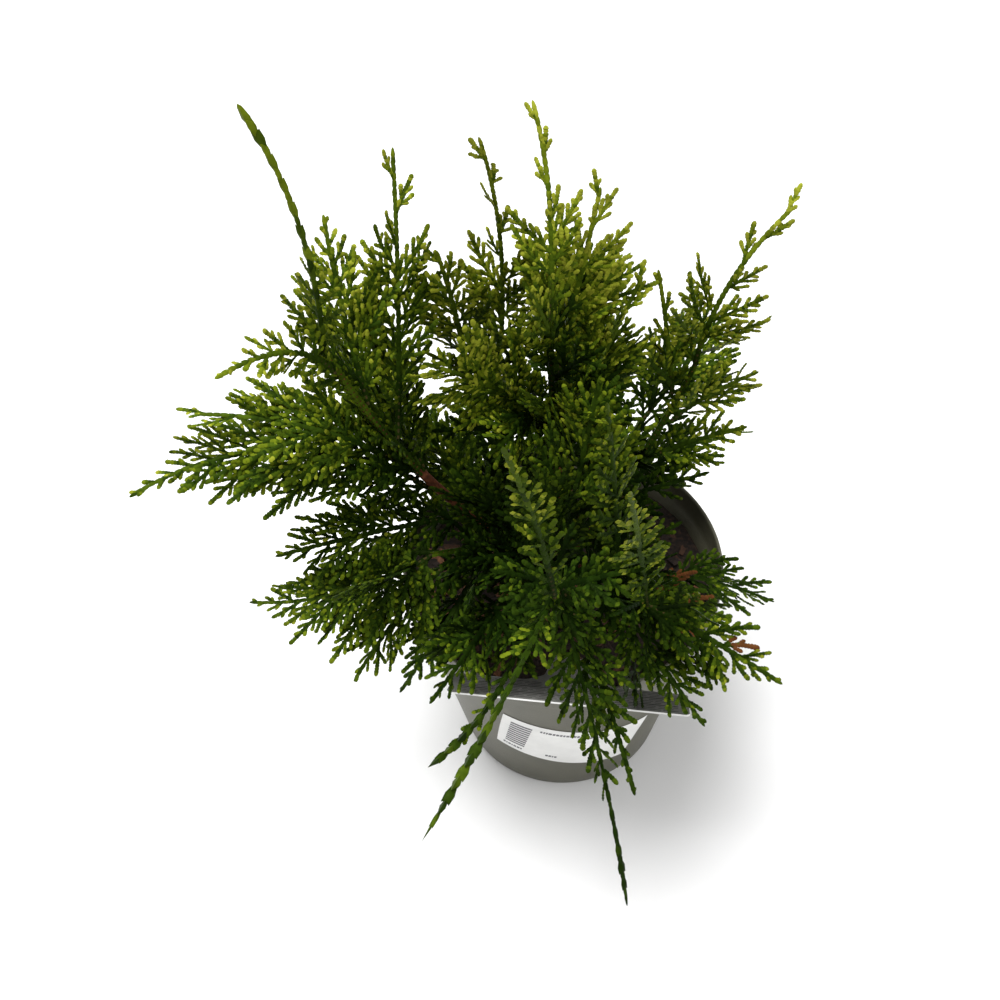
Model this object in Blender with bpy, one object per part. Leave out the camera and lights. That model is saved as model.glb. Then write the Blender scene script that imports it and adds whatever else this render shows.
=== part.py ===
"""Potted thuja: a young hedging conifer in a two-litre nursery pot, with its label card in the soil.

The plant is built as its own trunk, boughs and flat sprays of foliage. Metres, +Z up. The origin is the
centre of the pot's flat underside, and -Y is the front.
"""

import math
import random
from collections import namedtuple

import bmesh
import bpy
from mathutils import Matrix, Vector
from mathutils.bvhtree import BVHTree

MM = 0.001
UP = Vector((0, 0, 1))
GAP = 0.3 * MM  # between pieces that touch on the real plant

# Pot, a round moulded one with a rolled rim. Millimetres.
POT_HEIGHT = 140
POT_RIM_RADIUS = 85
POT_RIM_DEPTH = 13
POT_LIP = 4.0  # how far the rim stands out past the wall
POT_FOOT_RADIUS = 60
POT_FOOT_CHAMFER = 1.5
POT_WALL = 2.0
POT_FLOOR = 2.5
ROUND_STEPS = 40
RIM_BLEND = 6  # height over which the wall swells into the rim
RIM_SWELL = 0.4  # share of the lip that it swells by
RIM_EDGE = 1  # bevel of the rim's outer edge
RIM_TURN = 2  # above and below the wall's top, where the rim steps out
RIM_DROP = 3  # above the wall's top, where the rim's inner side turns in
RIM_DRAFT = 0.6
DRAIN_HOLES = 6
DRAIN_RADIUS = 4.5
DRAIN_CIRCLE = 42
DRAIN_SIDES = 12

# Soil, up to a finger's width under the rim. Millimetres.
SOIL_LEVEL = 123
SOIL_FLAT = 12  # level patch round the trunk's foot
SOIL_RINGS = (24, 37, 50, 62, 72)
SOIL_RELIEF = 1.6
SOIL_CLEARANCE = 0.6  # off the pot's inner wall

# Label card, a flat T of plastic whose tongue stands in the soil. Millimetres and degrees.
CARD_WIDTH = 112
CARD_BAND = 25
CARD_THICK = 0.8
CARD_TONGUE = 26
CARD_SHOULDER = 8  # slant between the band and the tongue
CARD_TAPER = 0.7  # width at the tongue's end, in tongue widths
CARD_BURIED = 22
CARD_RISE = 37
CARD_YAW = -10
CARD_TOP = (-6, -101, 160)  # middle of its top edge

# Trunk. Millimetres and degrees.
TRUNK_LENGTH = 170
TRUNK_AZIMUTH = 120
TRUNK_RISE = 86
TRUNK_FLARE = 7.6
TRUNK_FOOT = 4.4
TRUNK_TIP = 1.4
FLARE_HEIGHT = 9
FLARE_RINGS = ((0.35, 1.3), (1.0, 1.06))  # share of that height, and radius in foot radii
TRUNK_SIDES = 8
TRUNK_RINGS = 12

# Boughs: height of the fork above the soil, heading from above (degrees from +X), rise over level,
# length, by how much the rise falls and the heading turns from foot to tip, and radius at the foot.
Bough = namedtuple("Bough", "height azimuth rise length bend turn foot")
BOUGHS = {
    "bough_left": Bough(10, 188, 61, 196, -26, 6, 3.1),
    "bough_left_low": Bough(24, 205, 30, 76, 25, 0, 2.4),
    "bough_right": Bough(17, 24, 58, 123, -16, 0, 2.8),
    "bough_right_low": Bough(8, -24, 20, 38, 10, 0, 2.0),
    "bough_front_left": Bough(15, 236, 32, 64, 20, 0, 2.2),
    "bough_front": Bough(27, 264, 44, 138, 10, 0, 2.8),
    "bough_front_right": Bough(20, 290, 38, 106, 10, 0, 2.6),
    "bough_back_left": Bough(37, 138, 56, 88, -10, 0, 2.6),
    "bough_back": Bough(30, 84, 48, 78, 0, 0, 2.5),
    "bough_back_right": Bough(24, 46, 36, 73, 10, 0, 2.4),
    "bough_back_low": Bough(13, 142, 24, 60, 10, 0, 2.2),
}
BOUGH_TIP = 1.5
BOUGH_SIDES = 8
BOUGH_RINGS = 7

# Sprays, the masses of foliage: the limb and the place along it where the stem meets it, the stem's
# heading, rise, length and bend as for a bough, by how much its heading turns from foot to tip, the
# length of its longest side shoot, where along the stem that shoot is, how fast the shoots shorten
# past it, and the rise of the way its flat face looks.
Spray = namedtuple("Spray", "limb place azimuth rise length bend turn spread belly taper face")
SPRAYS = {
    "foliage_leader": Spray("trunk", 1.0, 93, 63, 90, 16, 40, 28, 0.30, 1.1, 5),
    "foliage_left_leader": Spray("bough_left", 1.0, 140, 84, 108, 40, 50, 26, 0.10, 3.0, 5),
    "foliage_left_curved": Spray("bough_left", 0.95, 234, 36, 74, 60, -6, 22, 0.35, 1.0, 60),
    "foliage_left_upright": Spray("bough_left", 0.67, 82, 62, 126, -4, 8, 36, 0.45, 0.9, 20),
    "foliage_left_inner": Spray("bough_left", 0.80, 106, 58, 82, 10, -15, 34, 0.40, 0.8, 40),
    "foliage_left_wide": Spray("bough_left", 0.58, 182, 27, 100, 50, -10, 42, 0.30, 0.7, 55),
    "foliage_left_far": Spray("bough_left", 0.48, 192, 16, 146, 69, 22, 46, 0.35, 0.9, 60),
    "foliage_left_under": Spray("bough_left", 0.355, 199, 8, 92, 20, -10, 40, 0.35, 0.7, 60),
    "foliage_left_back": Spray("bough_left", 0.52, 131, 36, 90, 20, 10, 40, 0.35, 0.7, 50),
    "foliage_left_deep": Spray("bough_left", 0.26, 128, 34, 62, 10, 0, 34, 0.40, 0.6, 50),
    "foliage_low_left": Spray("bough_left_low", 1.0, 190, -6, 92, 4, -46, 42, 0.30, 0.8, 70),
    "foliage_low_left_front": Spray("bough_left_low", 0.85, 228, -16, 76, 20, 10, 34, 0.35, 0.9, 70),
    "foliage_low_left_inner": Spray("bough_left_low", 0.60, 238, -9, 82, 10, -10, 28, 0.40, 0.8, 60),
    "foliage_back_left_fan": Spray("bough_back_left", 1.0, 236, 79, 90, 10, 0, 36, 0.40, 0.8, 10),
    "foliage_back_left_tall": Spray("bough_back_left", 0.80, 54, 89, 152, -40, 0, 34, 0.50, 1.0, 5),
    "foliage_front_left": Spray("bough_front_left", 1.0, 240, 4, 66, 20, -15, 27, 0.35, 0.8, 60),
    "foliage_front_left_hang": Spray("bough_front_left", 0.75, 245, 1, 106, 14, -58, 20, 0.40, 0.9, 60),
    "foliage_front_left_up": Spray("bough_front_left", 0.50, 168, 70, 80, 10, 0, 40, 0.40, 0.6, 20),
    "foliage_front_tall": Spray("bough_front", 1.0, 222, 77, 106, 10, 0, 15, 0.50, 0.7, 0),
    "foliage_front_long": Spray("bough_front", 0.94, 245, 7, 119, 42, -20, 13, 0.30, 1.6, 70),
    "foliage_front_hang": Spray("bough_front", 0.84, 283, -43, 138, 40, 0, 26, 0.20, 1.6, 60),
    "foliage_front_hang_side": Spray("bough_front", 0.70, 288, -29, 96, 40, 0, 20, 0.40, 1.0, 60),
    "foliage_front_crest": Spray("bough_front", 0.58, 52, 72, 94, 0, 0, 40, 0.45, 0.7, 10),
    "foliage_front_right_tall": Spray("bough_front_right", 1.0, 246, 69, 134, 5, 0, 18, 0.45, 0.7, 0),
    "foliage_front_right_up": Spray("bough_front_right", 0.74, 221, 83, 124, 5, 0, 21, 0.50, 0.7, 0),
    "foliage_front_right_low": Spray("bough_front_right", 0.60, 294, -3, 80, 20, 10, 34, 0.35, 0.8, 65),
    "foliage_front_right_side": Spray("bough_front_right", 0.42, 330, -2, 66, 15, 0, 27, 0.35, 0.8, 65),
    "foliage_front_right_far": Spray("bough_front_right", 0.92, 326, -11, 68, 25, 10, 26, 0.35, 0.9, 65),
    "foliage_low_right": Spray("bough_right_low", 1.0, 339, 3, 70, 20, -15, 34, 0.35, 0.7, 75),
    "foliage_low_right_back": Spray("bough_right_low", 0.60, 24, 16, 44, 15, 0, 15, 0.35, 0.7, 70),
    "foliage_right_leader": Spray("bough_right", 1.0, 17, 65, 88, 38, -14, 40, 0.12, 0.9, 30),
    "foliage_right_side": Spray("bough_right", 0.76, 351, 43, 50, 20, 0, 28, 0.35, 0.7, 45),
    "foliage_right_low": Spray("bough_right", 0.56, 359, 22, 50, 15, 0, 22, 0.35, 0.7, 55),
    "foliage_right_foot": Spray("bough_right", 0.34, 8, 10, 46, 10, 10, 18, 0.35, 0.7, 60),
    "foliage_right_inner": Spray("bough_right", 0.86, 118, 73, 64, 10, 0, 22, 0.45, 0.8, 10),
    "foliage_crown_right": Spray("trunk", 0.80, 52, 69, 88, 0, 0, 38, 0.45, 0.7, 10),
    "foliage_crown_side": Spray("trunk", 0.60, 28, 62, 86, 5, 10, 38, 0.45, 0.7, 20),
    "foliage_crown_left": Spray("trunk", 0.70, 210, 46, 86, 10, 0, 42, 0.40, 0.6, 20),
    "foliage_crown_front": Spray("trunk", 0.62, 278, 53, 78, 10, 0, 40, 0.40, 0.6, 15),
    "foliage_back_high": Spray("bough_back", 1.0, 86, 42, 80, 15, 10, 40, 0.35, 0.7, 60),
    "foliage_back_low": Spray("bough_back", 0.60, 64, 14, 86, 20, -10, 42, 0.35, 0.7, 75),
    "foliage_back_right": Spray("bough_back_right", 1.0, 44, 24, 76, 15, 10, 38, 0.35, 0.7, 65),
    "foliage_back_right_low": Spray("bough_back_right", 0.55, 18, 6, 76, 20, -10, 38, 0.35, 0.7, 75),
    "foliage_back_left_low": Spray("bough_back_low", 1.0, 142, 8, 84, 20, 10, 40, 0.35, 0.7, 75),
    "foliage_back_middle": Spray("bough_back_low", 0.55, 104, 4, 92, 20, 0, 40, 0.35, 0.7, 75),
}
STEM_FOOT = 1.5
STEM_TIP = 0.8
STEM_POINT = 6  # the pointed end past the last ring
STEM_RINGS = 6
STEM_ROLL = 32  # how far a flat face may turn from the way it looks
SHOOT_STEP = 9.0  # along the stem, from one side shoot to the next on the other side
SHOOT_FIRST = 0.7  # in steps
SHOOT_LAST = 0.3  # in steps, added to the count
SHOOT_AT_FOOT = 0.55  # length of the first shoot, in the longest shoot's length
SHOOT_SHORTEST = 0.22
SHOOT_ANGLES = (52, 34)  # off the stem, at its foot and at its tip
SHOOT_JITTER = 0.12
BLADE_WIDTH = 0.17  # half width, in shoot lengths
BLADE_WIDEST = 0.55
BLADE_RIDGE = 1.3
BLADE_TILT = 12
BLADE_ROOT = (0.6, 0.25, 0.4)  # half width, drop and rise of its root, in stem radii
CLEARANCE = 0.45
TRIMS = (1.0, 0.75, 0.5)  # lengths tried for a shoot before it is left out
SMOOTH_ANGLE = 30
SEED = 41

# Colours and roughness.
PLASTIC = ((0.17, 0.165, 0.13), 0.5)
EARTH = ((0.03, 0.018, 0.011), 0.95)
LABEL = ((0.14, 0.14, 0.135), 0.45)
BARK = ((0.16, 0.06, 0.03), 0.85)
LEAF = ((0.05, 0.13, 0.02), 0.5)


# Materials

def material(name, color, roughness):
    """Principled material of one plain colour."""
    made = bpy.data.materials.new(name)
    made.use_nodes = True
    shader = made.node_tree.nodes["Principled BSDF"]
    shader.inputs["Base Color"].default_value = (*color, 1.0)
    shader.inputs["Roughness"].default_value = roughness
    shader.inputs["Metallic"].default_value = 0.0
    made.diffuse_color = (*color, 1.0)
    return made


# Meshes

def new_object(name, bm, made):
    """Object of a bmesh whose faces are turned outward."""
    bmesh.ops.recalc_face_normals(bm, faces=bm.faces)
    mesh = bpy.data.meshes.new(name)
    bm.to_mesh(mesh)
    bm.free()
    mesh.materials.append(made)
    piece = bpy.data.objects.new(name, mesh)
    bpy.context.collection.objects.link(piece)
    return piece


def turned(name, profile, made, steps=ROUND_STEPS):
    """Solid of revolution round Z from an open profile that starts and ends on the axis, in millimetres."""
    bm = bmesh.new()
    verts = [bm.verts.new((radius * MM, 0, height * MM)) for radius, height in profile]
    edges = [bm.edges.new(pair) for pair in zip(verts, verts[1:])]
    bmesh.ops.spin(
        bm, geom=verts + edges, cent=(0, 0, 0), axis=(0, 0, 1), angle=math.tau, steps=steps, use_merge=True
    )
    bmesh.ops.remove_doubles(bm, verts=bm.verts, dist=0.01 * MM)
    return new_object(name, bm, made)


def corners(ahead, up, sides):
    """Unit offsets to the corners of a tube's ring, the first on the side of up."""
    side = ahead.cross(up).normalized()
    over = side.cross(ahead)
    turns = [math.tau * k / sides for k in range(sides)]
    return [math.sin(turn) * side + math.cos(turn) * over for turn in turns]


def tube_shape(points, radii, sides, up, point_end=None):
    """Vertices and faces of a tapering tube with flat ends, or with a point past its last ring.

    The first corner of each ring is on the side of up, which is never along the tube.
    """
    verts = []
    faces = []
    for i, (centre, radius) in enumerate(zip(points, radii)):
        ahead = (points[min(i + 1, len(points) - 1)] - points[max(i - 1, 0)]).normalized()
        verts += [centre + radius * corner for corner in corners(ahead, up, sides)]
    for i in range(len(points) - 1):
        for k in range(sides):
            near = i * sides
            after = (k + 1) % sides
            faces.append((near + k, near + after, near + sides + after, near + sides + k))
    faces.append(tuple(reversed(range(sides))))
    last = (len(points) - 1) * sides
    if point_end is None:
        faces.append(tuple(range(last, last + sides)))
    else:
        verts.append(point_end)
        faces += [(last + k, last + (k + 1) % sides, len(verts) - 1) for k in range(sides)]
    return verts, faces


def bmesh_of(shapes):
    """One bmesh of loose closed shapes."""
    bm = bmesh.new()
    for verts, faces in shapes:
        made = [bm.verts.new(v) for v in verts]
        for face in faces:
            bm.faces.new([made[i] for i in face])
    return bm


def apply_modifiers(piece):
    """The object keeps the mesh that its modifiers give."""
    bpy.context.view_layer.update()
    seen = piece.evaluated_get(bpy.context.evaluated_depsgraph_get())
    mesh = bpy.data.meshes.new_from_object(seen)
    piece.modifiers.clear()
    piece.data = mesh


def cut(piece, cutters):
    """Cuts closed shapes out of a piece and removes them."""
    for cutter in cutters:
        step = piece.modifiers.new("cut", "BOOLEAN")
        step.operation = "DIFFERENCE"
        step.solver = "EXACT"
        step.object = cutter
    apply_modifiers(piece)
    for cutter in cutters:
        bpy.data.objects.remove(cutter)


def fused(name, shapes, made):
    """One solid from closed shapes that run into each other, by a Boolean union on their collection."""
    body = new_object(name, bmesh_of(shapes[:1]), made)
    rest = bpy.data.collections.new(name + "_shoots")
    bpy.context.scene.collection.children.link(rest)
    for i, shape in enumerate(shapes[1:]):
        shoot = new_object(f"{name}_shoot_{i}", bmesh_of([shape]), made)
        bpy.context.collection.objects.unlink(shoot)
        rest.objects.link(shoot)
    step = body.modifiers.new("join", "BOOLEAN")
    step.operation = "UNION"
    step.solver = "EXACT"
    step.operand_type = "COLLECTION"
    step.collection = rest
    apply_modifiers(body)
    for shoot in list(rest.objects):
        bpy.data.objects.remove(shoot)
    bpy.data.collections.remove(rest)
    return body


# Growth rule of the plant

def heading(azimuth, rise):
    """Unit vector of a compass angle and a rise, in degrees."""
    a = math.radians(azimuth)
    r = math.radians(rise)
    return Vector((math.cos(r) * math.cos(a), math.cos(r) * math.sin(a), math.sin(r)))


def heading_at(limb, share):
    """Heading of a bough's or spray's middle line: its rise falls evenly by bend, and it turns evenly."""
    from_middle = share - 0.5
    return heading(limb.azimuth + limb.turn * from_middle, limb.rise - limb.bend * from_middle)


def grown_path(start, limb, length, steps):
    """Points of the middle line of a bough or spray."""
    points = [Vector(start)]
    for i in range(steps):
        points.append(points[-1] + heading_at(limb, (i + 0.5) / steps) * (length * MM / steps))
    return points


def place_on(points, share):
    """Point and direction at a share of a path's length."""
    along = share * (len(points) - 1)
    i = min(int(along), len(points) - 2)
    step = points[i + 1] - points[i]
    return points[i] + step * (along - i), step.normalized()


class Limb:
    """A trunk, bough or spray's stem: its middle line, its radius and the way its upper side looks."""

    def __init__(self, points, foot, tip, look=UP):
        self.points = points
        self.foot = foot * MM
        self.tip = tip * MM
        self.look = look

    def radius(self, share):
        return self.foot + (self.tip - self.foot) * share

    def seat(self, share, ahead, foot):
        """Where a stem that leaves for ahead starts, so that the corners of its foot clear the limb."""
        centre, along = place_on(self.points, share)
        if share == 1.0:
            return centre + along * (GAP - min(corner.dot(along) for corner in foot))
        aside = (ahead - along * ahead.dot(along)).normalized()
        return centre + aside * (self.radius(share) + GAP - min(corner.dot(aside) for corner in foot))


def trunk_limb():
    step = heading(TRUNK_AZIMUTH, TRUNK_RISE) * (TRUNK_LENGTH * MM / TRUNK_RINGS)
    foot = Vector((0, 0, SOIL_LEVEL * MM))
    return Limb([foot + step * i for i in range(TRUNK_RINGS + 1)], TRUNK_FOOT, TRUNK_TIP)


def bough_limb(trunk, bough):
    ahead = heading_at(bough, 0.5 / BOUGH_RINGS)
    foot = [bough.foot * MM * corner for corner in corners(ahead, UP, BOUGH_SIDES)]
    start = trunk.seat(bough.height / TRUNK_LENGTH, ahead, foot)
    return Limb(grown_path(start, bough, bough.length, BOUGH_RINGS), bough.foot, BOUGH_TIP)


def spray_stem(limb, spray, roll):
    """Stem of a spray, whose flat face is turned by roll round it."""
    ahead = heading_at(spray, 0.5 / STEM_RINGS)
    look = Matrix.Rotation(math.radians(roll), 3, heading_at(spray, 0.5)) @ heading(-90, spray.face)
    start = limb.seat(spray.place, ahead, [STEM_FOOT * MM * corner for corner in corners(ahead, look, 3)])
    points = grown_path(start, spray, spray.length - STEM_POINT, STEM_RINGS)
    return Limb(points, STEM_FOOT, STEM_TIP, look)


def shoot_length(spray, share):
    """Length of a side shoot: up to the longest at the belly, and shorter past it."""
    if share < spray.belly:
        return spray.spread * (SHOOT_AT_FOOT + (1 - SHOOT_AT_FOOT) * share / spray.belly)
    rest = (1 - share) / (1 - spray.belly)
    return spray.spread * max(SHOOT_SHORTEST, rest ** spray.taper)


def shoot_frames(stem, spray, rng):
    """For each side shoot in turn: root, direction, way over the flat face, length and stem radius."""
    count = round(spray.length / SHOOT_STEP)
    for i in range(count):
        share = (i + SHOOT_FIRST) / (count + SHOOT_LAST)
        root, along = place_on(stem.points, share)
        across = along.cross(stem.look).normalized()
        side = 1 if i % 2 else -1
        angle = SHOOT_ANGLES[0] + (SHOOT_ANGLES[1] - SHOOT_ANGLES[0]) * share
        angle = math.radians(angle * rng.uniform(1 - SHOOT_JITTER, 1 + SHOOT_JITTER))
        ahead = along * math.cos(angle) + across * side * math.sin(angle)
        over = across.cross(along)
        tilt = Matrix.Rotation(math.radians(rng.uniform(-BLADE_TILT, BLADE_TILT)), 3, along)
        length = shoot_length(spray, share) * rng.uniform(1 - SHOOT_JITTER, 1 + SHOOT_JITTER)
        yield root, tilt @ ahead, tilt @ over, length * MM, stem.radius(share)


def blade_shape(root, ahead, over, length, radius, swell=0.0):
    """Flat shoot: a three-sided root inside the stem, widest past its middle, then a point."""
    side = ahead.cross(over).normalized()
    wide = length * BLADE_WIDTH + swell
    ridge = BLADE_RIDGE * MM / 2 + swell
    middle = root + ahead * length * BLADE_WIDEST
    half, drop, rise = BLADE_ROOT
    verts = [
        root + side * half * radius - over * drop * radius,
        root - side * half * radius - over * drop * radius,
        root + over * rise * radius,
        middle + side * wide - over * ridge,
        middle - side * wide - over * ridge,
        middle + over * ridge,
        root + ahead * (length + swell),
    ]
    faces = [(0, 1, 2), (0, 3, 4, 1), (1, 4, 5, 2), (2, 5, 3, 0), (3, 6, 4), (4, 6, 5), (5, 6, 3)]
    return verts, faces


# Room between pieces

def bounds(verts):
    return [(min(v[i] for v in verts), max(v[i] for v in verts)) for i in range(3)]


def apart(a, b):
    return any(a[i][0] > b[i][1] or b[i][0] > a[i][1] for i in range(3))


class Room:
    """The space already taken, piece by piece, by shapes a little larger than their own."""

    def __init__(self):
        self.taken = []

    def free(self, owner, shape):
        verts, faces = shape
        box = bounds(verts)
        tree = None
        for other, other_box, other_tree in self.taken:
            if other == owner or apart(box, other_box):
                continue
            tree = tree or BVHTree.FromPolygons(verts, faces)
            if tree.overlap(other_tree):
                return False
        return True

    def take(self, owner, shape):
        self.taken.append((owner, bounds(shape[0]), BVHTree.FromPolygons(*shape)))


def shape_of(piece):
    """Vertices and faces of a built piece."""
    mesh = piece.data
    return [vertex.co.copy() for vertex in mesh.vertices], [tuple(face.vertices) for face in mesh.polygons]


def limb_shape(limb, sides, swell=0.0, point=None):
    count = len(limb.points) - 1
    radii = [limb.radius(i / count) + swell for i in range(count + 1)]
    return tube_shape(limb.points, radii, sides, limb.look, point)


def stem_end(stem):
    return stem.points[-1] + (stem.points[-1] - stem.points[-2]).normalized() * STEM_POINT * MM


def spray_shapes(stems, others):
    """Stem and side shoots of every spray; the sprays take turns, and a shoot with no room is left out."""
    room = Room()
    swell = CLEARANCE * MM
    for piece in others:
        room.take(piece.name, shape_of(piece))
    for name, limb in stems.limbs.items():
        room.take(name, limb_shape(limb, BOUGH_SIDES, swell))
    shapes = {}
    waiting = {}
    for i, (name, spray) in enumerate(SPRAYS.items()):
        stem = stems.sprays[name]
        room.take(name, limb_shape(stem, 3, swell, stem_end(stem)))
        shapes[name] = [limb_shape(stem, 3, 0.0, stem_end(stem))]
        waiting[name] = list(shoot_frames(stem, spray, random.Random(SEED + i)))
    while waiting:
        for name in list(waiting):
            if not waiting[name]:
                del waiting[name]
                continue
            root, ahead, over, length, radius = waiting[name].pop(0)
            for trim in TRIMS:
                if room.free(name, blade_shape(root, ahead, over, length * trim, radius, swell)):
                    room.take(name, blade_shape(root, ahead, over, length * trim, radius))
                    shapes[name].append(blade_shape(root, ahead, over, length * trim, radius))
                    break
    return shapes


class Stems:
    """Every limb and every spray's stem, grown outward from the trunk."""

    def __init__(self):
        trunk = trunk_limb()
        self.limbs = {"trunk": trunk}
        for name, bough in BOUGHS.items():
            self.limbs[name] = bough_limb(trunk, bough)
        rng = random.Random(SEED)
        self.sprays = {}
        for name, spray in SPRAYS.items():
            roll = rng.uniform(-STEM_ROLL, STEM_ROLL)
            self.sprays[name] = spray_stem(self.limbs[spray.limb], spray, roll)


# Pieces

def pot_profile():
    wall_top = POT_HEIGHT - POT_RIM_DEPTH
    wall_radius = POT_RIM_RADIUS - POT_LIP
    slope = (wall_radius - POT_FOOT_RADIUS) / wall_top
    inner_foot = POT_FOOT_RADIUS + slope * POT_FLOOR - POT_WALL
    return [
        (0, 0),
        (POT_FOOT_RADIUS - POT_FOOT_CHAMFER, 0),
        (POT_FOOT_RADIUS, POT_FOOT_CHAMFER),
        (wall_radius - slope * RIM_BLEND, wall_top - RIM_BLEND),
        (wall_radius + POT_LIP * RIM_SWELL, wall_top - RIM_TURN),
        (POT_RIM_RADIUS, wall_top + RIM_TURN),
        (POT_RIM_RADIUS, POT_HEIGHT - RIM_EDGE),
        (POT_RIM_RADIUS - RIM_EDGE, POT_HEIGHT),
        (POT_RIM_RADIUS - POT_WALL, POT_HEIGHT),
        (POT_RIM_RADIUS - POT_WALL - RIM_DRAFT, wall_top + RIM_DROP),
        (wall_radius - POT_WALL, wall_top - RIM_TURN),
        (inner_foot, POT_FLOOR),
        (0, POT_FLOOR),
    ]


def build_pot(made):
    pot = turned("pot", pot_profile(), made)
    holes = []
    for i in range(DRAIN_HOLES):
        turn = math.tau * (i + 0.5) / DRAIN_HOLES
        bm = bmesh.new()
        bmesh.ops.create_cone(
            bm,
            cap_ends=True,
            segments=DRAIN_SIDES,
            radius1=DRAIN_RADIUS * MM,
            radius2=DRAIN_RADIUS * MM,
            depth=4 * POT_FLOOR * MM,
        )
        hole = new_object(f"drain_hole_{i}", bm, made)
        hole.location = (DRAIN_CIRCLE * MM * math.cos(turn), DRAIN_CIRCLE * MM * math.sin(turn), 0)
        hole.hide_render = True
        hole.display_type = "WIRE"
        holes.append(hole)
    cut(pot, holes)
    return pot


def soil_radius(height):
    """Radius of the soil at a height: the pot's inner wall less the gap."""
    wall_top = POT_HEIGHT - POT_RIM_DEPTH
    wall_radius = POT_RIM_RADIUS - POT_LIP
    slope = (wall_radius - POT_FOOT_RADIUS) / wall_top
    return POT_FOOT_RADIUS + slope * height - POT_WALL - SOIL_CLEARANCE


def build_soil(made, slot):
    top = SOIL_LEVEL - GAP / MM
    floor = POT_FLOOR + GAP / MM
    profile = [(0, floor), (soil_radius(floor), floor), (soil_radius(top), top)]
    profile += [(radius, top) for radius in reversed(SOIL_RINGS)]
    profile += [(SOIL_FLAT, top), (0, top)]
    soil = turned("soil", profile, made)
    rng = random.Random(SEED)
    for vertex in soil.data.vertices:
        radius = math.hypot(vertex.co.x, vertex.co.y) / MM
        if SOIL_FLAT + 1 < radius < SOIL_RINGS[-1] + 1 and vertex.co.z > SOIL_LEVEL * MM / 2:
            vertex.co.z += rng.uniform(-SOIL_RELIEF, SOIL_RELIEF) * MM
    cut(soil, [slot])
    return soil


def card_outline(wide, tongue, drop, grow=0.0):
    """Outline of the card in its own plane: X across, Y down the tongue from the top edge."""
    half = wide / 2 + grow
    stalk = tongue / 2 + grow
    return [
        (-half, -grow),
        (half, -grow),
        (half, CARD_BAND + grow),
        (stalk + CARD_SHOULDER, CARD_BAND + grow),
        (stalk, CARD_BAND + grow + CARD_SHOULDER),
        (stalk * CARD_TAPER, drop + grow),
        (-stalk * CARD_TAPER, drop + grow),
        (-stalk, CARD_BAND + grow + CARD_SHOULDER),
        (-stalk - CARD_SHOULDER, CARD_BAND + grow),
        (-half, CARD_BAND + grow),
    ]


def card_piece(name, made, grow=0.0):
    """Flat card, laid at its slant with its tongue in the soil."""
    height = (CARD_TOP[2] - SOIL_LEVEL) / math.sin(math.radians(CARD_RISE)) + CARD_BURIED
    thick = CARD_THICK + 2 * grow
    bm = bmesh.new()
    verts = [
        bm.verts.new((x * MM, -y * MM, -thick * MM / 2))
        for x, y in card_outline(CARD_WIDTH, CARD_TONGUE, height, grow)
    ]
    face = bm.faces.new(verts)
    raised = bmesh.ops.extrude_face_region(bm, geom=[face])["geom"]
    moved = [item for item in raised if isinstance(item, bmesh.types.BMVert)]
    bmesh.ops.translate(bm, verts=moved, vec=(0, 0, thick * MM))
    lean = Matrix.Rotation(math.radians(180 - CARD_RISE), 4, "X")
    turn = Matrix.Rotation(math.radians(CARD_YAW), 4, "Z")
    bmesh.ops.transform(bm, matrix=turn @ lean, verts=bm.verts)
    bmesh.ops.translate(bm, verts=bm.verts, vec=Vector(CARD_TOP) * MM)
    return new_object(name, bm, made)


def build_trunk(limb, made):
    """The trunk with its root flare, cut flat at the soil."""
    rings = [limb.points[0]]
    radii = [TRUNK_FLARE * MM]
    for share, swell in FLARE_RINGS:
        centre, along = place_on(limb.points, share * FLARE_HEIGHT / TRUNK_LENGTH)
        rings.append(centre)
        radii.append(limb.radius(0) * swell)
    for i in range(1, TRUNK_RINGS + 1):
        rings.append(limb.points[i])
        radii.append(limb.radius(i / TRUNK_RINGS))
    verts, faces = tube_shape(rings, radii, TRUNK_SIDES, limb.look)
    for i in range(TRUNK_SIDES):
        verts[i].z = SOIL_LEVEL * MM
    return new_object("trunk", bmesh_of([(verts, faces)]), made)


def main():
    for old in list(bpy.data.objects):
        bpy.data.objects.remove(old)
    plastic = material("pot_plastic", *PLASTIC)
    earth = material("potting_soil", *EARTH)
    label = material("label_plastic", *LABEL)
    bark = material("bark", *BARK)
    leaf = material("scale_leaves", *LEAF)
    pot = build_pot(plastic)
    soil = build_soil(earth, card_piece("card_slot", earth, GAP / MM))
    card = card_piece("label_card", label)
    stems = Stems()
    build_trunk(stems.limbs["trunk"], bark)
    for name in BOUGHS:
        new_object(name, bmesh_of([limb_shape(stems.limbs[name], BOUGH_SIDES)]), bark)
    for name, shapes in spray_shapes(stems, (pot, soil, card)).items():
        fused(name, shapes, leaf)
    for piece in bpy.data.objects:
        piece.data.shade_smooth()
        piece.data.set_sharp_from_angle(angle=math.radians(SMOOTH_ANGLE))


main()
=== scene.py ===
"""Potted thuja as it is seen: the leafy shoots, the bark, the pot, the soil and the label card.

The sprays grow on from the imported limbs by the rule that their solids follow, written again here and
carried to finer shoots. Metres, +Z up. The origin is the centre of the pot's underside, -Y is the front.
"""

import math
import random
from collections import namedtuple

import bmesh
import bpy
import numpy as np
from mathutils import Matrix, Vector, noise


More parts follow.
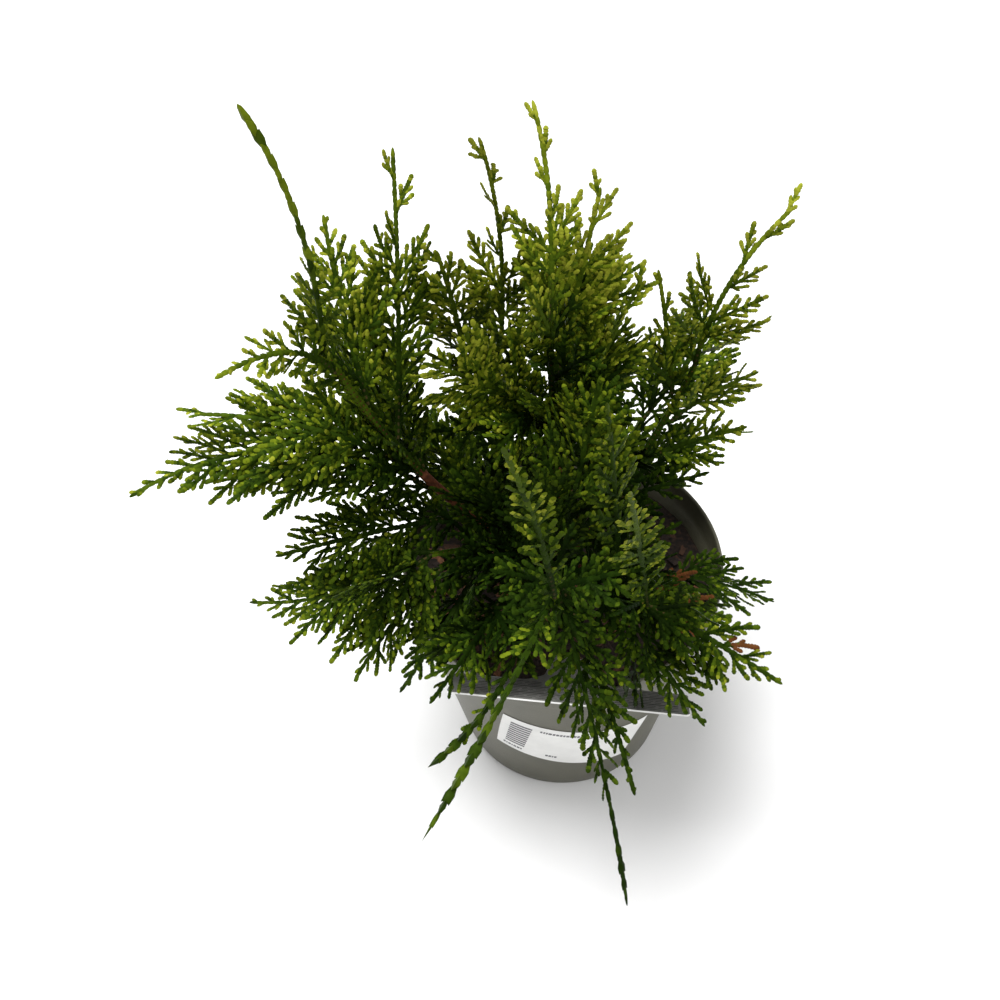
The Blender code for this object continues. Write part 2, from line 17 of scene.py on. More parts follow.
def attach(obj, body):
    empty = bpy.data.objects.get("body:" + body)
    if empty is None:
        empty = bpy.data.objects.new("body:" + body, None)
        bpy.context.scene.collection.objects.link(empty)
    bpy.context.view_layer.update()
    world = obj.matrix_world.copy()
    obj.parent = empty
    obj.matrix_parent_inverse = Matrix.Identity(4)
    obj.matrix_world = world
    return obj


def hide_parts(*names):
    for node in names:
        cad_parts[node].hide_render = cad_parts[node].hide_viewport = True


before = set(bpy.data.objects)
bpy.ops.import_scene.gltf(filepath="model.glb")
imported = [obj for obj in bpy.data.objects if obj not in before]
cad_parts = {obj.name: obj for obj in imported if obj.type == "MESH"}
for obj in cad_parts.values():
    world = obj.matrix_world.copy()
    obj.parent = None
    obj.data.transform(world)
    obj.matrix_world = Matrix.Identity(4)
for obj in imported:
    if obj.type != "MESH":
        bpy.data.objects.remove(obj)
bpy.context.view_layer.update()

MM = 0.001
UP = Vector((0, 0, 1))
GAP = 0.3 * MM  # between pieces that touch on the real plant
SEED = 41

# Pot, soil and card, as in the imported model. Millimetres and degrees.
POT_HEIGHT = 140
POT_RIM_RADIUS = 85
POT_RIM_DEPTH = 13
POT_LIP = 4.0
POT_FOOT_RADIUS = 60
POT_FOOT_CHAMFER = 1.5
POT_WALL = 2.0
POT_FLOOR = 2.5
DRAIN_HOLES = 6
DRAIN_RADIUS = 4.5
DRAIN_CIRCLE = 42
SOIL_LEVEL = 123
SOIL_FLAT = 12
CARD_WIDTH = 112
CARD_BAND = 25
CARD_THICK = 0.8
CARD_TONGUE = 26
CARD_BURIED = 22
CARD_RISE = 37
CARD_YAW = -10
CARD_TOP = (-6, -101, 160)

# Trunk. Millimetres and degrees.
TRUNK_LENGTH = 170
TRUNK_AZIMUTH = 120
TRUNK_RISE = 86
TRUNK_FLARE = 7.6
TRUNK_FOOT = 4.4
TRUNK_TIP = 1.4
FLARE_HEIGHT = 9
TRUNK_RINGS = 12

# Boughs: height of the fork above the soil, heading from above (degrees from +X), rise over level,
# length, by how much the rise falls and the heading turns from foot to tip, and radius at the foot.
Bough = namedtuple("Bough", "height azimuth rise length bend turn foot")
BOUGHS = {name: Bough(*row) for name, row in {
    "bough_left": (10, 188, 61, 196, -26, 6, 3.1),
    "bough_left_low": (24, 205, 30, 76, 25, 0, 2.4),
    "bough_right": (17, 24, 58, 123, -16, 0, 2.8),
    "bough_right_low": (8, -24, 20, 38, 10, 0, 2.0),
    "bough_front_left": (15, 236, 32, 64, 20, 0, 2.2),
    "bough_front": (27, 264, 44, 138, 10, 0, 2.8),
    "bough_front_right": (20, 290, 38, 106, 10, 0, 2.6),
    "bough_back_left": (37, 138, 56, 88, -10, 0, 2.6),
    "bough_back": (30, 84, 48, 78, 0, 0, 2.5),
    "bough_back_right": (24, 46, 36, 73, 10, 0, 2.4),
    "bough_back_low": (13, 142, 24, 60, 10, 0, 2.2),
}.items()}
BOUGH_TIP = 1.5
BOUGH_SIDES = 8
BOUGH_RINGS = 7
# Sprays, the masses of foliage: the limb and the place along it where the stem meets it, the stem's
# heading, rise, length and bend as for a bough, by how much its heading turns from foot to tip, the
# length of its longest side shoot, where along the stem that shoot is, how fast the shoots shorten
# past it, and the rise of the way its flat face looks.
Spray = namedtuple("Spray", "limb place azimuth rise length bend turn spread belly taper face")
SPRAYS = {name: Spray(*row) for name, row in {
    "leader": ("trunk", 1.0, 93, 63, 90, 16, 40, 28, 0.30, 1.1, 5),
    "left_leader": ("bough_left", 1.0, 140, 84, 108, 40, 50, 26, 0.10, 3.0, 5),
    "left_curved": ("bough_left", 0.95, 234, 36, 74, 60, -6, 22, 0.35, 1.0, 60),
    "left_upright": ("bough_left", 0.67, 82, 62, 126, -4, 8, 36, 0.45, 0.9, 20),
    "left_inner": ("bough_left", 0.80, 106, 58, 82, 10, -15, 34, 0.40, 0.8, 40),
    "left_wide": ("bough_left", 0.58, 182, 27, 100, 50, -10, 42, 0.30, 0.7, 55),
    "left_far": ("bough_left", 0.48, 192, 16, 146, 69, 22, 46, 0.35, 0.9, 60),
    "left_under": ("bough_left", 0.355, 199, 8, 92, 20, -10, 40, 0.35, 0.7, 60),
    "left_back": ("bough_left", 0.52, 131, 36, 90, 20, 10, 40, 0.35, 0.7, 50),
    "left_deep": ("bough_left", 0.26, 128, 34, 62, 10, 0, 34, 0.40, 0.6, 50),
    "low_left": ("bough_left_low", 1.0, 190, -6, 92, 4, -46, 42, 0.30, 0.8, 70),
    "low_left_front": ("bough_left_low", 0.85, 228, -16, 76, 20, 10, 34, 0.35, 0.9, 70),
    "low_left_inner": ("bough_left_low", 0.60, 238, -9, 82, 10, -10, 28, 0.40, 0.8, 60),
    "back_left_fan": ("bough_back_left", 1.0, 236, 79, 90, 10, 0, 36, 0.40, 0.8, 10),
    "back_left_tall": ("bough_back_left", 0.80, 54, 89, 152, -40, 0, 34, 0.50, 1.0, 5),
    "front_left": ("bough_front_left", 1.0, 240, 4, 66, 20, -15, 27, 0.35, 0.8, 60),
    "front_left_hang": ("bough_front_left", 0.75, 245, 1, 106, 14, -58, 20, 0.40, 0.9, 60),
    "front_left_up": ("bough_front_left", 0.50, 168, 70, 80, 10, 0, 40, 0.40, 0.6, 20),
    "front_tall": ("bough_front", 1.0, 222, 77, 106, 10, 0, 15, 0.50, 0.7, 0),
    "front_long": ("bough_front", 0.94, 245, 7, 119, 42, -20, 13, 0.30, 1.6, 70),
    "front_hang": ("bough_front", 0.84, 283, -43, 138, 40, 0, 26, 0.20, 1.6, 60),
    "front_hang_side": ("bough_front", 0.70, 288, -29, 96, 40, 0, 20, 0.40, 1.0, 60),
    "front_crest": ("bough_front", 0.58, 52, 72, 94, 0, 0, 40, 0.45, 0.7, 10),
    "front_right_tall": ("bough_front_right", 1.0, 246, 69, 134, 5, 0, 18, 0.45, 0.7, 0),
    "front_right_up": ("bough_front_right", 0.74, 221, 83, 124, 5, 0, 21, 0.50, 0.7, 0),
    "front_right_low": ("bough_front_right", 0.60, 294, -3, 80, 20, 10, 34, 0.35, 0.8, 65),
    "front_right_side": ("bough_front_right", 0.42, 330, -2, 66, 15, 0, 27, 0.35, 0.8, 65),
    "front_right_far": ("bough_front_right", 0.92, 326, -11, 68, 25, 10, 26, 0.35, 0.9, 65),
    "low_right": ("bough_right_low", 1.0, 339, 3, 70, 20, -15, 34, 0.35, 0.7, 75),
    "low_right_back": ("bough_right_low", 0.60, 24, 16, 44, 15, 0, 15, 0.35, 0.7, 70),
    "right_leader": ("bough_right", 1.0, 17, 65, 88, 38, -14, 40, 0.12, 0.9, 30),
    "right_side": ("bough_right", 0.76, 351, 43, 50, 20, 0, 28, 0.35, 0.7, 45),
    "right_low": ("bough_right", 0.56, 359, 22, 50, 15, 0, 22, 0.35, 0.7, 55),
    "right_foot": ("bough_right", 0.34, 8, 10, 46, 10, 10, 18, 0.35, 0.7, 60),
    "right_inner": ("bough_right", 0.86, 118, 73, 64, 10, 0, 22, 0.45, 0.8, 10),
    "crown_right": ("trunk", 0.80, 52, 69, 88, 0, 0, 38, 0.45, 0.7, 10),
    "crown_side": ("trunk", 0.60, 28, 62, 86, 5, 10, 38, 0.45, 0.7, 20),
    "crown_left": ("trunk", 0.70, 210, 46, 86, 10, 0, 42, 0.40, 0.6, 20),
    "crown_front": ("trunk", 0.62, 278, 53, 78, 10, 0, 40, 0.40, 0.6, 15),
    "back_high": ("bough_back", 1.0, 86, 42, 80, 15, 10, 40, 0.35, 0.7, 60),
    "back_low": ("bough_back", 0.60, 64, 14, 86, 20, -10, 42, 0.35, 0.7, 75),
    "back_right": ("bough_back_right", 1.0, 44, 24, 76, 15, 10, 38, 0.35, 0.7, 65),
    "back_right_low": ("bough_back_right", 0.55, 18, 6, 76, 20, -10, 38, 0.35, 0.7, 75),
    "back_left_low": ("bough_back_low", 1.0, 142, 8, 84, 20, 10, 40, 0.35, 0.7, 75),
    "back_middle": ("bough_back_low", 0.55, 104, 4, 92, 20, 0, 40, 0.35, 0.7, 75),
}.items()}
MASSES = ["foliage_" + name for name in SPRAYS]
STEM_FOOT = 1.5
STEM_TIP = 0.8
STEM_POINT = 6
STEM_RINGS = 6
STEM_ROLL = 32
SHOOT_SHORTEST = 0.22
SHOOT_ANGLES = (52, 34)
SHOOT_JITTER = 0.12

# Leafy shoots: chains of scale leaves, finer than the solids' shoots. Millimetres and degrees.
FINE_STEP = 4.6  # along the stem, from one side shoot to the next on the other side
FIRST_SHOOT = 0.7  # steps from the stem's foot to its first side shoot
SPRAY_SHADE = (0.14, 0.4)  # how side shoots grow lighter along the stem, and the share where they even out
SCALE_STEP = 1.35  # from one leaf to the next along a shoot
TWIG_EVERY = 2  # leaves from one finer shoot to the next on the other side
STEM_SCALE_STEP = 3.2
SCALE_WIDTHS = (1.35, 0.92, 0.84, 0.82)  # half widths by the shoot's order
SCALE_FLAT = 0.55  # half thickness, in half widths
SCALE_OVERLAP = 1.12  # length of a leaf, in steps
SLENDER_OVERLAP = 1.36
CLUB = 0.40  # by how much a shoot is wider at its blunt tip than at its foot
TWIG_SHARE = (0.50, 0.46)  # longest shoot of the next order, in what is left of the shoot it grows on
TWIG_LONGEST = (13.5, 6.5)
TWIG_SHORTEST = 2.6
TWIG_ANGLES = (30, 44)
CURVE = 0.45  # how far a shoot bends on towards the way its parent runs
TIP_SHADES = {1: 0.24, 2: 0.20, 3: 0.14, 4: 0.07}  # by how many scales from the tip
SCALE_JITTER = 0.13  # of the tone, from one leaf to the next
WIDTH_JITTER = 0.1
SHOOT_SHADE_JITTER = 0.07
SHOOT_SHADE = 0.06  # by how much a shoot grows lighter from foot to tip
SWAY = 0.25  # sideways, over the whole of a shoot
WAVE = 0.06  # up and down, from one leaf to the next
DROOP_RATE = 0.012  # per millimetre
TWIG_SIZES = (0.75, 1.15)
TWIG_LIFT = 0.16
TWIG_SHADE = 0.04
STEM_WIDTHS = (1.15, 0.35)  # width of a stem's scales at its foot, and what it loses to its tip
STEM_SHADES = (-0.08, 0.24)  # their tone at its foot, and what it gains to its tip
STEM_JITTER = 0.06
ROLL_JITTER = 22
LIFT_JITTER = 13
TIP_REACH = (0.35, 2.2)  # reach of the shoots at a spray's tip, and how fast it grows back from there

# Smaller sprays that fill the crown: on each big spray's own stem, and all along the boughs and trunk.
COMPANIONS = ((0.10, 62, 0.60, 1), (0.26, 48, 0.50, -1))  # share, angle off the plane, size, side
ALONE = (
    "leader", "left_leader", "left_curved", "front_long", "front_hang", "front_hang_side",
    "right_leader", "left_far", "left_upright", "back_left_tall", "back_left_fan", "left_wide",
    "right_low", "right_foot", "right_side", "low_right", "low_right_back", "front_tall",
    "front_right_tall", "front_right_up", "front_left_hang", "low_left_front", "left_under",
    "left_deep", "back_right_low",
)
COMPANION_TURNS = (15, 30)
COMPANION_SPREAD = 0.8
COMPANION_SHADE = 0.10
SMALL_BEND = 12
SMALL_TURN = 20
SMALL_BELLY = 0.35
SMALL_TAPER = 0.8
SMALL_DROOP = 0.2
# Thick shoots: length and half width of a stem scale, the share past which only nubs grow, their length,
# the share at which the shoot is thickest, the share on either side over which it swells, and its width
# at the very tip in its usual width.
Slender = namedtuple("Slender", "step wide bare nub crest span tail")
SLENDER = {
    "left_leader": Slender(4.6, 1.70, 0.40, 0, 0.92, 0.07, 0.80),
    "front_long": Slender(4.6, 1.40, 0.30, 0, 0.74, 0.14, 0.20),
    "front_hang": Slender(4.2, 1.25, 0.60, 0, 0.90, 0.14, 0.30),
    "front_left_hang": Slender(4.0, 1.60, 0.40, 7.0, 0.85, 0.14, 0.80),
}
SLENDER_SWELL = 0.5
SLENDER_JITTER = 0.12
SLENDER_FLAT = 0.8
SLENDER_SHADE = 0.10
# Sprays that end in a few long twigs: the share of the stem past which only one shoot in three grows.
SPARSE = {
    "leader": 0.40, "left_upright": 0.62, "back_left_tall": 0.50, "right_leader": 0.36,
    "crown_right": 0.62, "back_left_fan": 0.75, "right_inner": 0.35, "crown_side": 0.60,
    "back_right_low": 0.55, "left_wide": 0.65,
}
SPARSE_EVERY = 3
SPARSE_REACH = 0.60  # length of those twigs, in the longest shoot's length
SPARSE_LEAST = 0.55  # the last one's length, in the first one's
SPARSE_ANGLE = 0.62  # and their angle, in a shoot's usual angle
FILL_TO = {"bough_left": 0.60, "bough_right": 0.50, "bough_right_low": 0.0}
FILL_STEP = 10.0
FILL_TURN = 137.5
FILL_ANGLE = (38, 62)
FILL_LENGTHS = (36, 58)
FILL_FROM = 0.18
FILL_SAG = 0.3  # of the slope of one that would grow downward
FILL_LOOK = Vector((0, -0.6, 0))  # turns their faces to the front
FILL_LOSS = 0.25  # of their length from the limb's foot to its tip
FILL_SPREAD = 0.5  # longest side shoot, in their length
FILL_SHADE = 0.1
TRUNK_FILL = (0.15, 0.95)
TRUNK_SHADES = (0.06, 0.30)  # tone of the small sprays and of the scales on the trunk
BOUGH_SHADES = (0.08, 0.40)
LIMB_SCALE_STEP = 3.0
LIMB_OVERLAP = 1.25
LIMB_SCALE_WIDTH = 1.2
LIMB_SCALE_FLAT = 0.95
LIMB_SHADE = 0.2
LIMB_JITTER = 0.08
GREEN_SLIM = 0.65  # width of a limb's bark under its green scales, in its own
TRUNK_GREEN_FROM = 0.5
GREEN_FROM = 0.30  # share of a bough past which its bark is clothed in green scales
BARE_BOUGH = "bough_left"  # its bark shows, with no small sprays on it, between these shares
BARE_BAND = (0.22, 0.54)
NOWHERE = (2, 2)  # a band that no share of a limb is in

# Tones of the leaves from the shade to the tips: plain colours, dealt out by shoot.
TONES = {
    "deep": (0.0035, 0.0095, 0.0009),
    "dark": (0.0075, 0.0180, 0.0014),
    "mid": (0.0165, 0.0330, 0.0022),
    "fresh": (0.0400, 0.0650, 0.0035),
    "bright": (0.0950, 0.1250, 0.0060),
    "lime": (0.2000, 0.2200, 0.0180),
    "withered": (0.0900, 0.0320, 0.0110),
}
LADDER = list(TONES)[:6]
SPRAY_TONE = 0.36
# The crown's sprays and the upper ones on the right are set lighter as painted light from above, and the low
# sprays at the front darker as painted shade.
SPRAY_TONES = {
    "left_leader": 0.44, "left_curved": 0.40, "front_long": 0.36, "front_tall": 0.34,
    "front_right_tall": 0.40, "front_right_up": 0.34, "front_crest": 0.34, "front_left": 0.27,
    "front_left_hang": 0.36, "front_left_up": 0.24, "front_hang": 0.25, "front_hang_side": 0.25,
    "front_right_low": 0.25, "front_right_side": 0.27, "low_left_inner": 0.24, "left_under": 0.30,
    "left_far": 0.28, "left_upright": 0.40, "left_inner": 0.38, "low_right": 0.26,
    "low_right_back": 0.26, "right_foot": 0.30, "right_leader": 0.58, "right_inner": 0.60,
    "right_side": 0.58, "right_low": 0.52, "crown_right": 0.60, "crown_side": 0.58, "crown_left": 0.54,
    "leader": 0.56, "back_left_tall": 0.56, "back_left_fan": 0.54,
}
WITHERED = ("front_right_far", "front_right_side")
WITHERED_BAND = (0.30, 0.72)  # shares of their stems between which some shoots are brown
WITHERED_SHARE = 0.4
WITHERED_ROOT = 0.2  # share of a brown shoot up to which it is still green
# Leaves are deeper in tone near the middle of the crown and low down, and lighter far out and high up. The
# darker middle is partly the older growth's own deeper green and partly painted shade; the lighter top is
# painted light from above.
CROWN_MIDDLE = Vector((0, 0, 0.22))
CROWN_RADII = Vector((0.17, 0.17, 0.20))
DEPTH_SHADE = 0.24
DEPTH_LAST = 1.0  # place past which it gets no lighter
DEPTH_EVEN = 0.80  # place between middle and edge where the tone is a spray's own
HEIGHT_PAINTED_LIGHT = 0.9  # painted light: lighter per metre above the crown's middle


# Growth rule of the plant, as in the imported model

def heading(azimuth, rise):
    a = math.radians(azimuth)
    r = math.radians(rise)
    return Vector((math.cos(r) * math.cos(a), math.cos(r) * math.sin(a), math.sin(r)))


def heading_at(limb, share):
    from_middle = share - 0.5
    return heading(limb.azimuth + limb.turn * from_middle, limb.rise - limb.bend * from_middle)


def grown_path(start, limb, length, steps):
    points = [Vector(start)]
    for i in range(steps):
        points.append(points[-1] + heading_at(limb, (i + 0.5) / steps) * (length * MM / steps))
    return points


def place_on(points, share):
    """Point and direction at a share of a path's length."""
    along = share * (len(points) - 1)
    i = min(int(along), len(points) - 2)
    step = points[i + 1] - points[i]
    return points[i] + step * (along - i), step.normalized()


def corners(ahead, up, sides):
    side = ahead.cross(up).normalized()
    over = side.cross(ahead)
    turns = [math.tau * k / sides for k in range(sides)]
    return [math.sin(turn) * side + math.cos(turn) * over for turn in turns]


class Limb:
    """A trunk, bough or spray's stem: its middle line, a finer one, its radius and how its face looks."""

    def __init__(self, points, fine, foot, tip, look=UP):
        self.points = points
        self.fine = fine
        self.foot = foot * MM
        self.tip = tip * MM
        self.look = look

    def radius(self, share):
        return self.foot + (self.tip - self.foot) * share

    def seat(self, share, ahead, foot):
        centre, along = place_on(self.points, share)
        if share == 1.0:
            return centre + along * (GAP - min(corner.dot(along) for corner in foot))
        aside = (ahead - along * ahead.dot(along)).normalized()
        return centre + aside * (self.radius(share) + GAP - min(corner.dot(aside) for corner in foot))


def trunk_limb():
    step = heading(TRUNK_AZIMUTH, TRUNK_RISE) * (TRUNK_LENGTH * MM / TRUNK_RINGS)
    foot = Vector((0, 0, SOIL_LEVEL * MM))
    points = [foot + step * i for i in range(TRUNK_RINGS + 1)]
    return Limb(points, points, TRUNK_FOOT, TRUNK_TIP)


def bough_limb(trunk, bough):
    ahead = heading_at(bough, 0.5 / BOUGH_RINGS)
    foot = [bough.foot * MM * corner for corner in corners(ahead, UP, BOUGH_SIDES)]
    start = trunk.seat(bough.height / TRUNK_LENGTH, ahead, foot)
    points = grown_path(start, bough, bough.length, BOUGH_RINGS)
    return Limb(points, grown_path(start, bough, bough.length, 4 * BOUGH_RINGS), bough.foot, BOUGH_TIP)


def spray_stem(limb, spray, roll):
    ahead = heading_at(spray, 0.5 / STEM_RINGS)
    look = Matrix.Rotation(math.radians(roll), 3, heading_at(spray, 0.5)) @ heading(-90, spray.face)
    start = limb.seat(spray.place, ahead, [STEM_FOOT * MM * corner for corner in corners(ahead, look, 3)])
    points = grown_path(start, spray, spray.length - STEM_POINT, STEM_RINGS)
    fine = grown_path(start, spray, spray.length, 4 * STEM_RINGS)
    return Limb(points, fine, STEM_FOOT, STEM_TIP, look)


def shoot_length(spray, share):
    """Length of a side shoot: up to the longest at the belly, and shorter past it."""
    if share < spray.belly:
        return spray.spread * (0.55 + 0.45 * share / spray.belly)
    rest = (1 - share) / (1 - spray.belly)
    return spray.spread * max(SHOOT_SHORTEST, rest ** spray.taper)


class Stems:
    """Every limb and every spray's stem, grown outward from the trunk."""

    def __init__(self):
        trunk = trunk_limb()
        self.limbs = {"trunk": trunk}
        for name, bough in BOUGHS.items():
            self.limbs[name] = bough_limb(trunk, bough)
        rng = random.Random(SEED)
        self.sprays = {}
        for name, spray in SPRAYS.items():
            roll = rng.uniform(-STEM_ROLL, STEM_ROLL)
            self.sprays[name] = spray_stem(self.limbs[spray.limb], spray, roll)


# Scale leaves

# A leaf along its shoot, across it and over its face: a point sunk in the leaf behind, four shoulders,
# and the tips of its two side scales and of the flat one between them.
SCALE = np.array([
    (-0.50, 0, 0),
    (0.58, 1.0, 0), (0.62, 0, 1.0), (0.58, -1.0, 0), (0.62, 0, -1.0),
    (1.16, 0.86, 0), (1.02, 0, 0.50), (1.16, -0.86, 0),
])
BLUNT_SCALE = np.array([
    (-0.50, 0, 0),
    (0.45, 1.0, 0), (0.45, 0, 1.0), (0.45, -1.0, 0), (0.45, 0, -1.0),
    (1.10, 0.55, 0), (1.32, 0, 0.1), (1.10, -0.55, 0),
])
SCALE_FACES = np.array([
    (0, 1, 2), (0, 2, 3), (0, 3, 4), (0, 4, 1),
    (1, 5, 2), (2, 5, 6), (2, 6, 7), (3, 2, 7),
    (1, 4, 5), (4, 6, 5), (4, 7, 6), (3, 7, 4),
])
SCALES_A_PIECE = 16000


class Leaves:
    """Scale leaves waiting to be joined, by tone."""

    def __init__(self):
        self.rows = {tone: [] for tone in TONES}

    def add(self, tone, root, ahead, over, length, wide, blunt, flat=SCALE_FLAT):
        self.rows[tone].append((*root, *ahead, *over, length, wide, wide * flat, blunt))


def joined_mesh(name, verts, faces):
    """Mesh of loose triangles given as arrays."""
    mesh = bpy.data.meshes.new(name)
    mesh.vertices.add(len(verts))
    mesh.vertices.foreach_set("co", verts.astype(np.float32).ravel())
    mesh.loops.add(faces.size)
    mesh.loops.foreach_set("vertex_index", faces.astype(np.int32).ravel())
    mesh.polygons.add(len(faces))
    mesh.polygons.foreach_set("loop_start", np.arange(0, faces.size, 3, dtype=np.int32))
    mesh.update(calc_edges=True)
    return mesh


def scales_mesh(name, rows):
    rows = np.array(rows)
    root, ahead, over = rows[:, 0:3], rows[:, 3:6], rows[:, 6:9]
    across = np.cross(ahead, over)
    length, wide, thick, blunt = rows[:, 9:13].T
    shape = np.where(blunt[:, None, None] > 0.5, BLUNT_SCALE[None], SCALE[None])
    verts = (
        root[:, None, :]
        + ahead[:, None, :] * (shape[:, :, 0] * length[:, None])[:, :, None]
        + across[:, None, :] * (shape[:, :, 1] * wide[:, None])[:, :, None]
        + over[:, None, :] * (shape[:, :, 2] * thick[:, None])[:, :, None]
    )
    count = len(rows)
    faces = SCALE_FACES[None] + (np.arange(count) * len(SCALE))[:, None, None]
    return joined_mesh(name, verts.reshape(-1, 3), faces.reshape(-1, 3))


def tone_name(level, place):
    """Tone of a leaf from its level and its place in the crown, with painted shade deep inside it and painted
    light high up.
    """
    out = place - CROWN_MIDDLE
    depth = Vector([c / r for c, r in zip(out, CROWN_RADII)]).length
    # painted shade towards the crown's middle and painted light high up, added to the leaf's tone
    level += DEPTH_SHADE * (min(depth, DEPTH_LAST) - DEPTH_EVEN) + HEIGHT_PAINTED_LIGHT * out.z
    return LADDER[max(0, min(len(LADDER) - 1, int(level * len(LADDER))))]


def grow_shoot(leaves, rng, root, ahead, over, lean, length, order, level, droop, withered=False):
    """A shoot of scale leaves, which bears finer shoots on both sides and curves on towards lean."""
    count = max(2, round(length / (SCALE_STEP * MM)))
    step = length / count
    place = root.copy()
    side_turn = rng.choice((-1, 1))
    level += rng.uniform(-SHOOT_SHADE_JITTER, SHOOT_SHADE_JITTER)
    sway = rng.uniform(-SWAY, SWAY)
    for i in range(count):
        share = i / count
        bent = ahead + over * rng.uniform(-WAVE, WAVE) + ahead.cross(over) * (sway / count)
        bent += lean * (CURVE / count)
        bent.z -= droop * step / MM * DROOP_RATE
        ahead = bent.normalized()
        across = ahead.cross(over).normalized()
        over = across.cross(ahead)
        last = i == count - 1
        wide = SCALE_WIDTHS[order] * MM * (1 + CLUB * share) * rng.uniform(1 - WIDTH_JITTER, 1 + WIDTH_JITTER)
        shade = level + SHOOT_SHADE * share
        lit = shade + TIP_SHADES.get(count - i, 0) + rng.uniform(-SCALE_JITTER, SCALE_JITTER)
        tone = tone_name(lit, place)
        if withered and share > WITHERED_ROOT:
            tone = "withered"
        leaves.add(tone, place, ahead, over, step * SCALE_OVERLAP, wide, last)
        if order < 3 and i % TWIG_EVERY == 1 and not last:
            left = length * (1 - share)
            most = min(left * TWIG_SHARE[order - 1], TWIG_LONGEST[order - 1] * MM) * rng.uniform(*TWIG_SIZES)
            side_turn = -side_turn
            if most > TWIG_SHORTEST * MM:
                angle = math.radians(rng.uniform(*TWIG_ANGLES))
                side = ahead * math.cos(angle) + across * side_turn * math.sin(angle)
                side = (side + over * rng.uniform(-TWIG_LIFT, TWIG_LIFT)).normalized()
                grow_shoot(
                    leaves, rng, place, side, over, ahead, most, order + 1, shade + TWIG_SHADE, droop,
                    withered,
                )
        place = place + ahead * step


def slender_width(slim, share):
    """Width of a thick shoot at a share of its length, in its own width: it swells at its crest."""
    swell = SLENDER_SWELL * math.exp(-((share - slim.crest) / slim.span) ** 2)
    return (1 + swell) * (slim.tail + (1 - slim.tail) * min(1, (1 - share) / slim.span))


def grow_spray(leaves, rng, path, look, spray, level, droop, withering=NOWHERE, slender=None, sparse=1.0):
    """A spray: its stem's own scales, and side shoots in turn on its two sides."""
    length = spray.length * MM
    slim = slender or Slender(STEM_SCALE_STEP, SCALE_WIDTHS[0], 1.0, 0, 1, 1, 1)
    count = round(spray.length / slim.step)
    for i in range(count):
        share = i / count
        place, along = place_on(path, share)
        across = along.cross(look).normalized()
        over = across.cross(along)
        if slender:
            wide = slim.wide * MM * slender_width(slim, share)
            wide *= rng.uniform(1 - SLENDER_JITTER, 1 + SLENDER_JITTER)
            if i % 2:
                over = across
            lit = level + SLENDER_SHADE * share + rng.uniform(-SLENDER_JITTER, SLENDER_JITTER)
        else:
            wide = slim.wide * MM * (STEM_WIDTHS[0] - STEM_WIDTHS[1] * share)
            lit = level + STEM_SHADES[0] + STEM_SHADES[1] * share + rng.uniform(-STEM_JITTER, STEM_JITTER)
        flat = SLENDER_FLAT if slender else SCALE_FLAT
        size = length / count * (SLENDER_OVERLAP if slender else SCALE_OVERLAP)
        leaves.add(tone_name(lit, place), place, along, over, size, wide, i == count - 1, flat)
    count = round(spray.length / FINE_STEP)
    for i in range(count):
        share = (i + FIRST_SHOOT) / (count + 1 - FIRST_SHOOT)
        place, along = place_on(path, share)
        across = along.cross(look).normalized()
        over = across.cross(along)
        side_turn = 1 if i % 2 else -1
        angle = SHOOT_ANGLES[0] + (SHOOT_ANGLES[1] - SHOOT_ANGLES[0]) * share
        angle = math.radians(angle * rng.uniform(1 - SHOOT_JITTER, 1 + SHOOT_JITTER))
        if share > sparse:
            angle *= SPARSE_ANGLE
        ahead = along * math.cos(angle) + across * side_turn * math.sin(angle)
        tilt = Matrix.Rotation(math.radians(rng.gauss(0, LIFT_JITTER)), 3, along)
        ahead = tilt @ ahead
        over = Matrix.Rotation(math.radians(rng.gauss(0, ROLL_JITTER)), 3, ahead) @ (tilt @ over)
        reach = shoot_length(spray, share) * min(1, TIP_REACH[0] + TIP_REACH[1] * (1 - share))
        if share > sparse:
            left = (1 - share) / (1 - sparse)
            reach = spray.spread * SPARSE_REACH * (SPARSE_LEAST + (1 - SPARSE_LEAST) * left)
        if share > slim.bare:
            reach = min(reach, slim.nub)
        reach *= rng.uniform(1 - 1.5 * SHOOT_JITTER, 1 + SHOOT_JITTER) * MM
        if reach < SCALE_STEP * MM or share > sparse and i % SPARSE_EVERY:
            continue
        shade = level + SPRAY_SHADE[0] * (share - SPRAY_SHADE[1])
        withered = withering[0] < share < withering[1] and rng.random() < WITHERED_SHARE
        grow_shoot(leaves, rng, place, ahead, over, along, reach, 1, shade, droop, withered)


def bearing(ahead):
    """Compass angle and rise of a direction, in degrees."""
    return math.degrees(math.atan2(ahead.y, ahead.x)), math.degrees(math.asin(max(-1, min(1, ahead.z))))


def small_spray(leaves, rng, root, ahead, look, length, spread, level):
    """A smaller spray with no solid of its own, inside the crown."""
    azimuth, rise = bearing(ahead)
    turn = rng.uniform(-SMALL_TURN, SMALL_TURN)
    spray = Spray("", 0, azimuth, rise, length, SMALL_BEND, turn, spread, SMALL_BELLY, SMALL_TAPER, 0)
    path = grown_path(root, spray, length, 4 * STEM_RINGS)
    grow_spray(leaves, rng, path, look, spray, level, SMALL_DROOP)


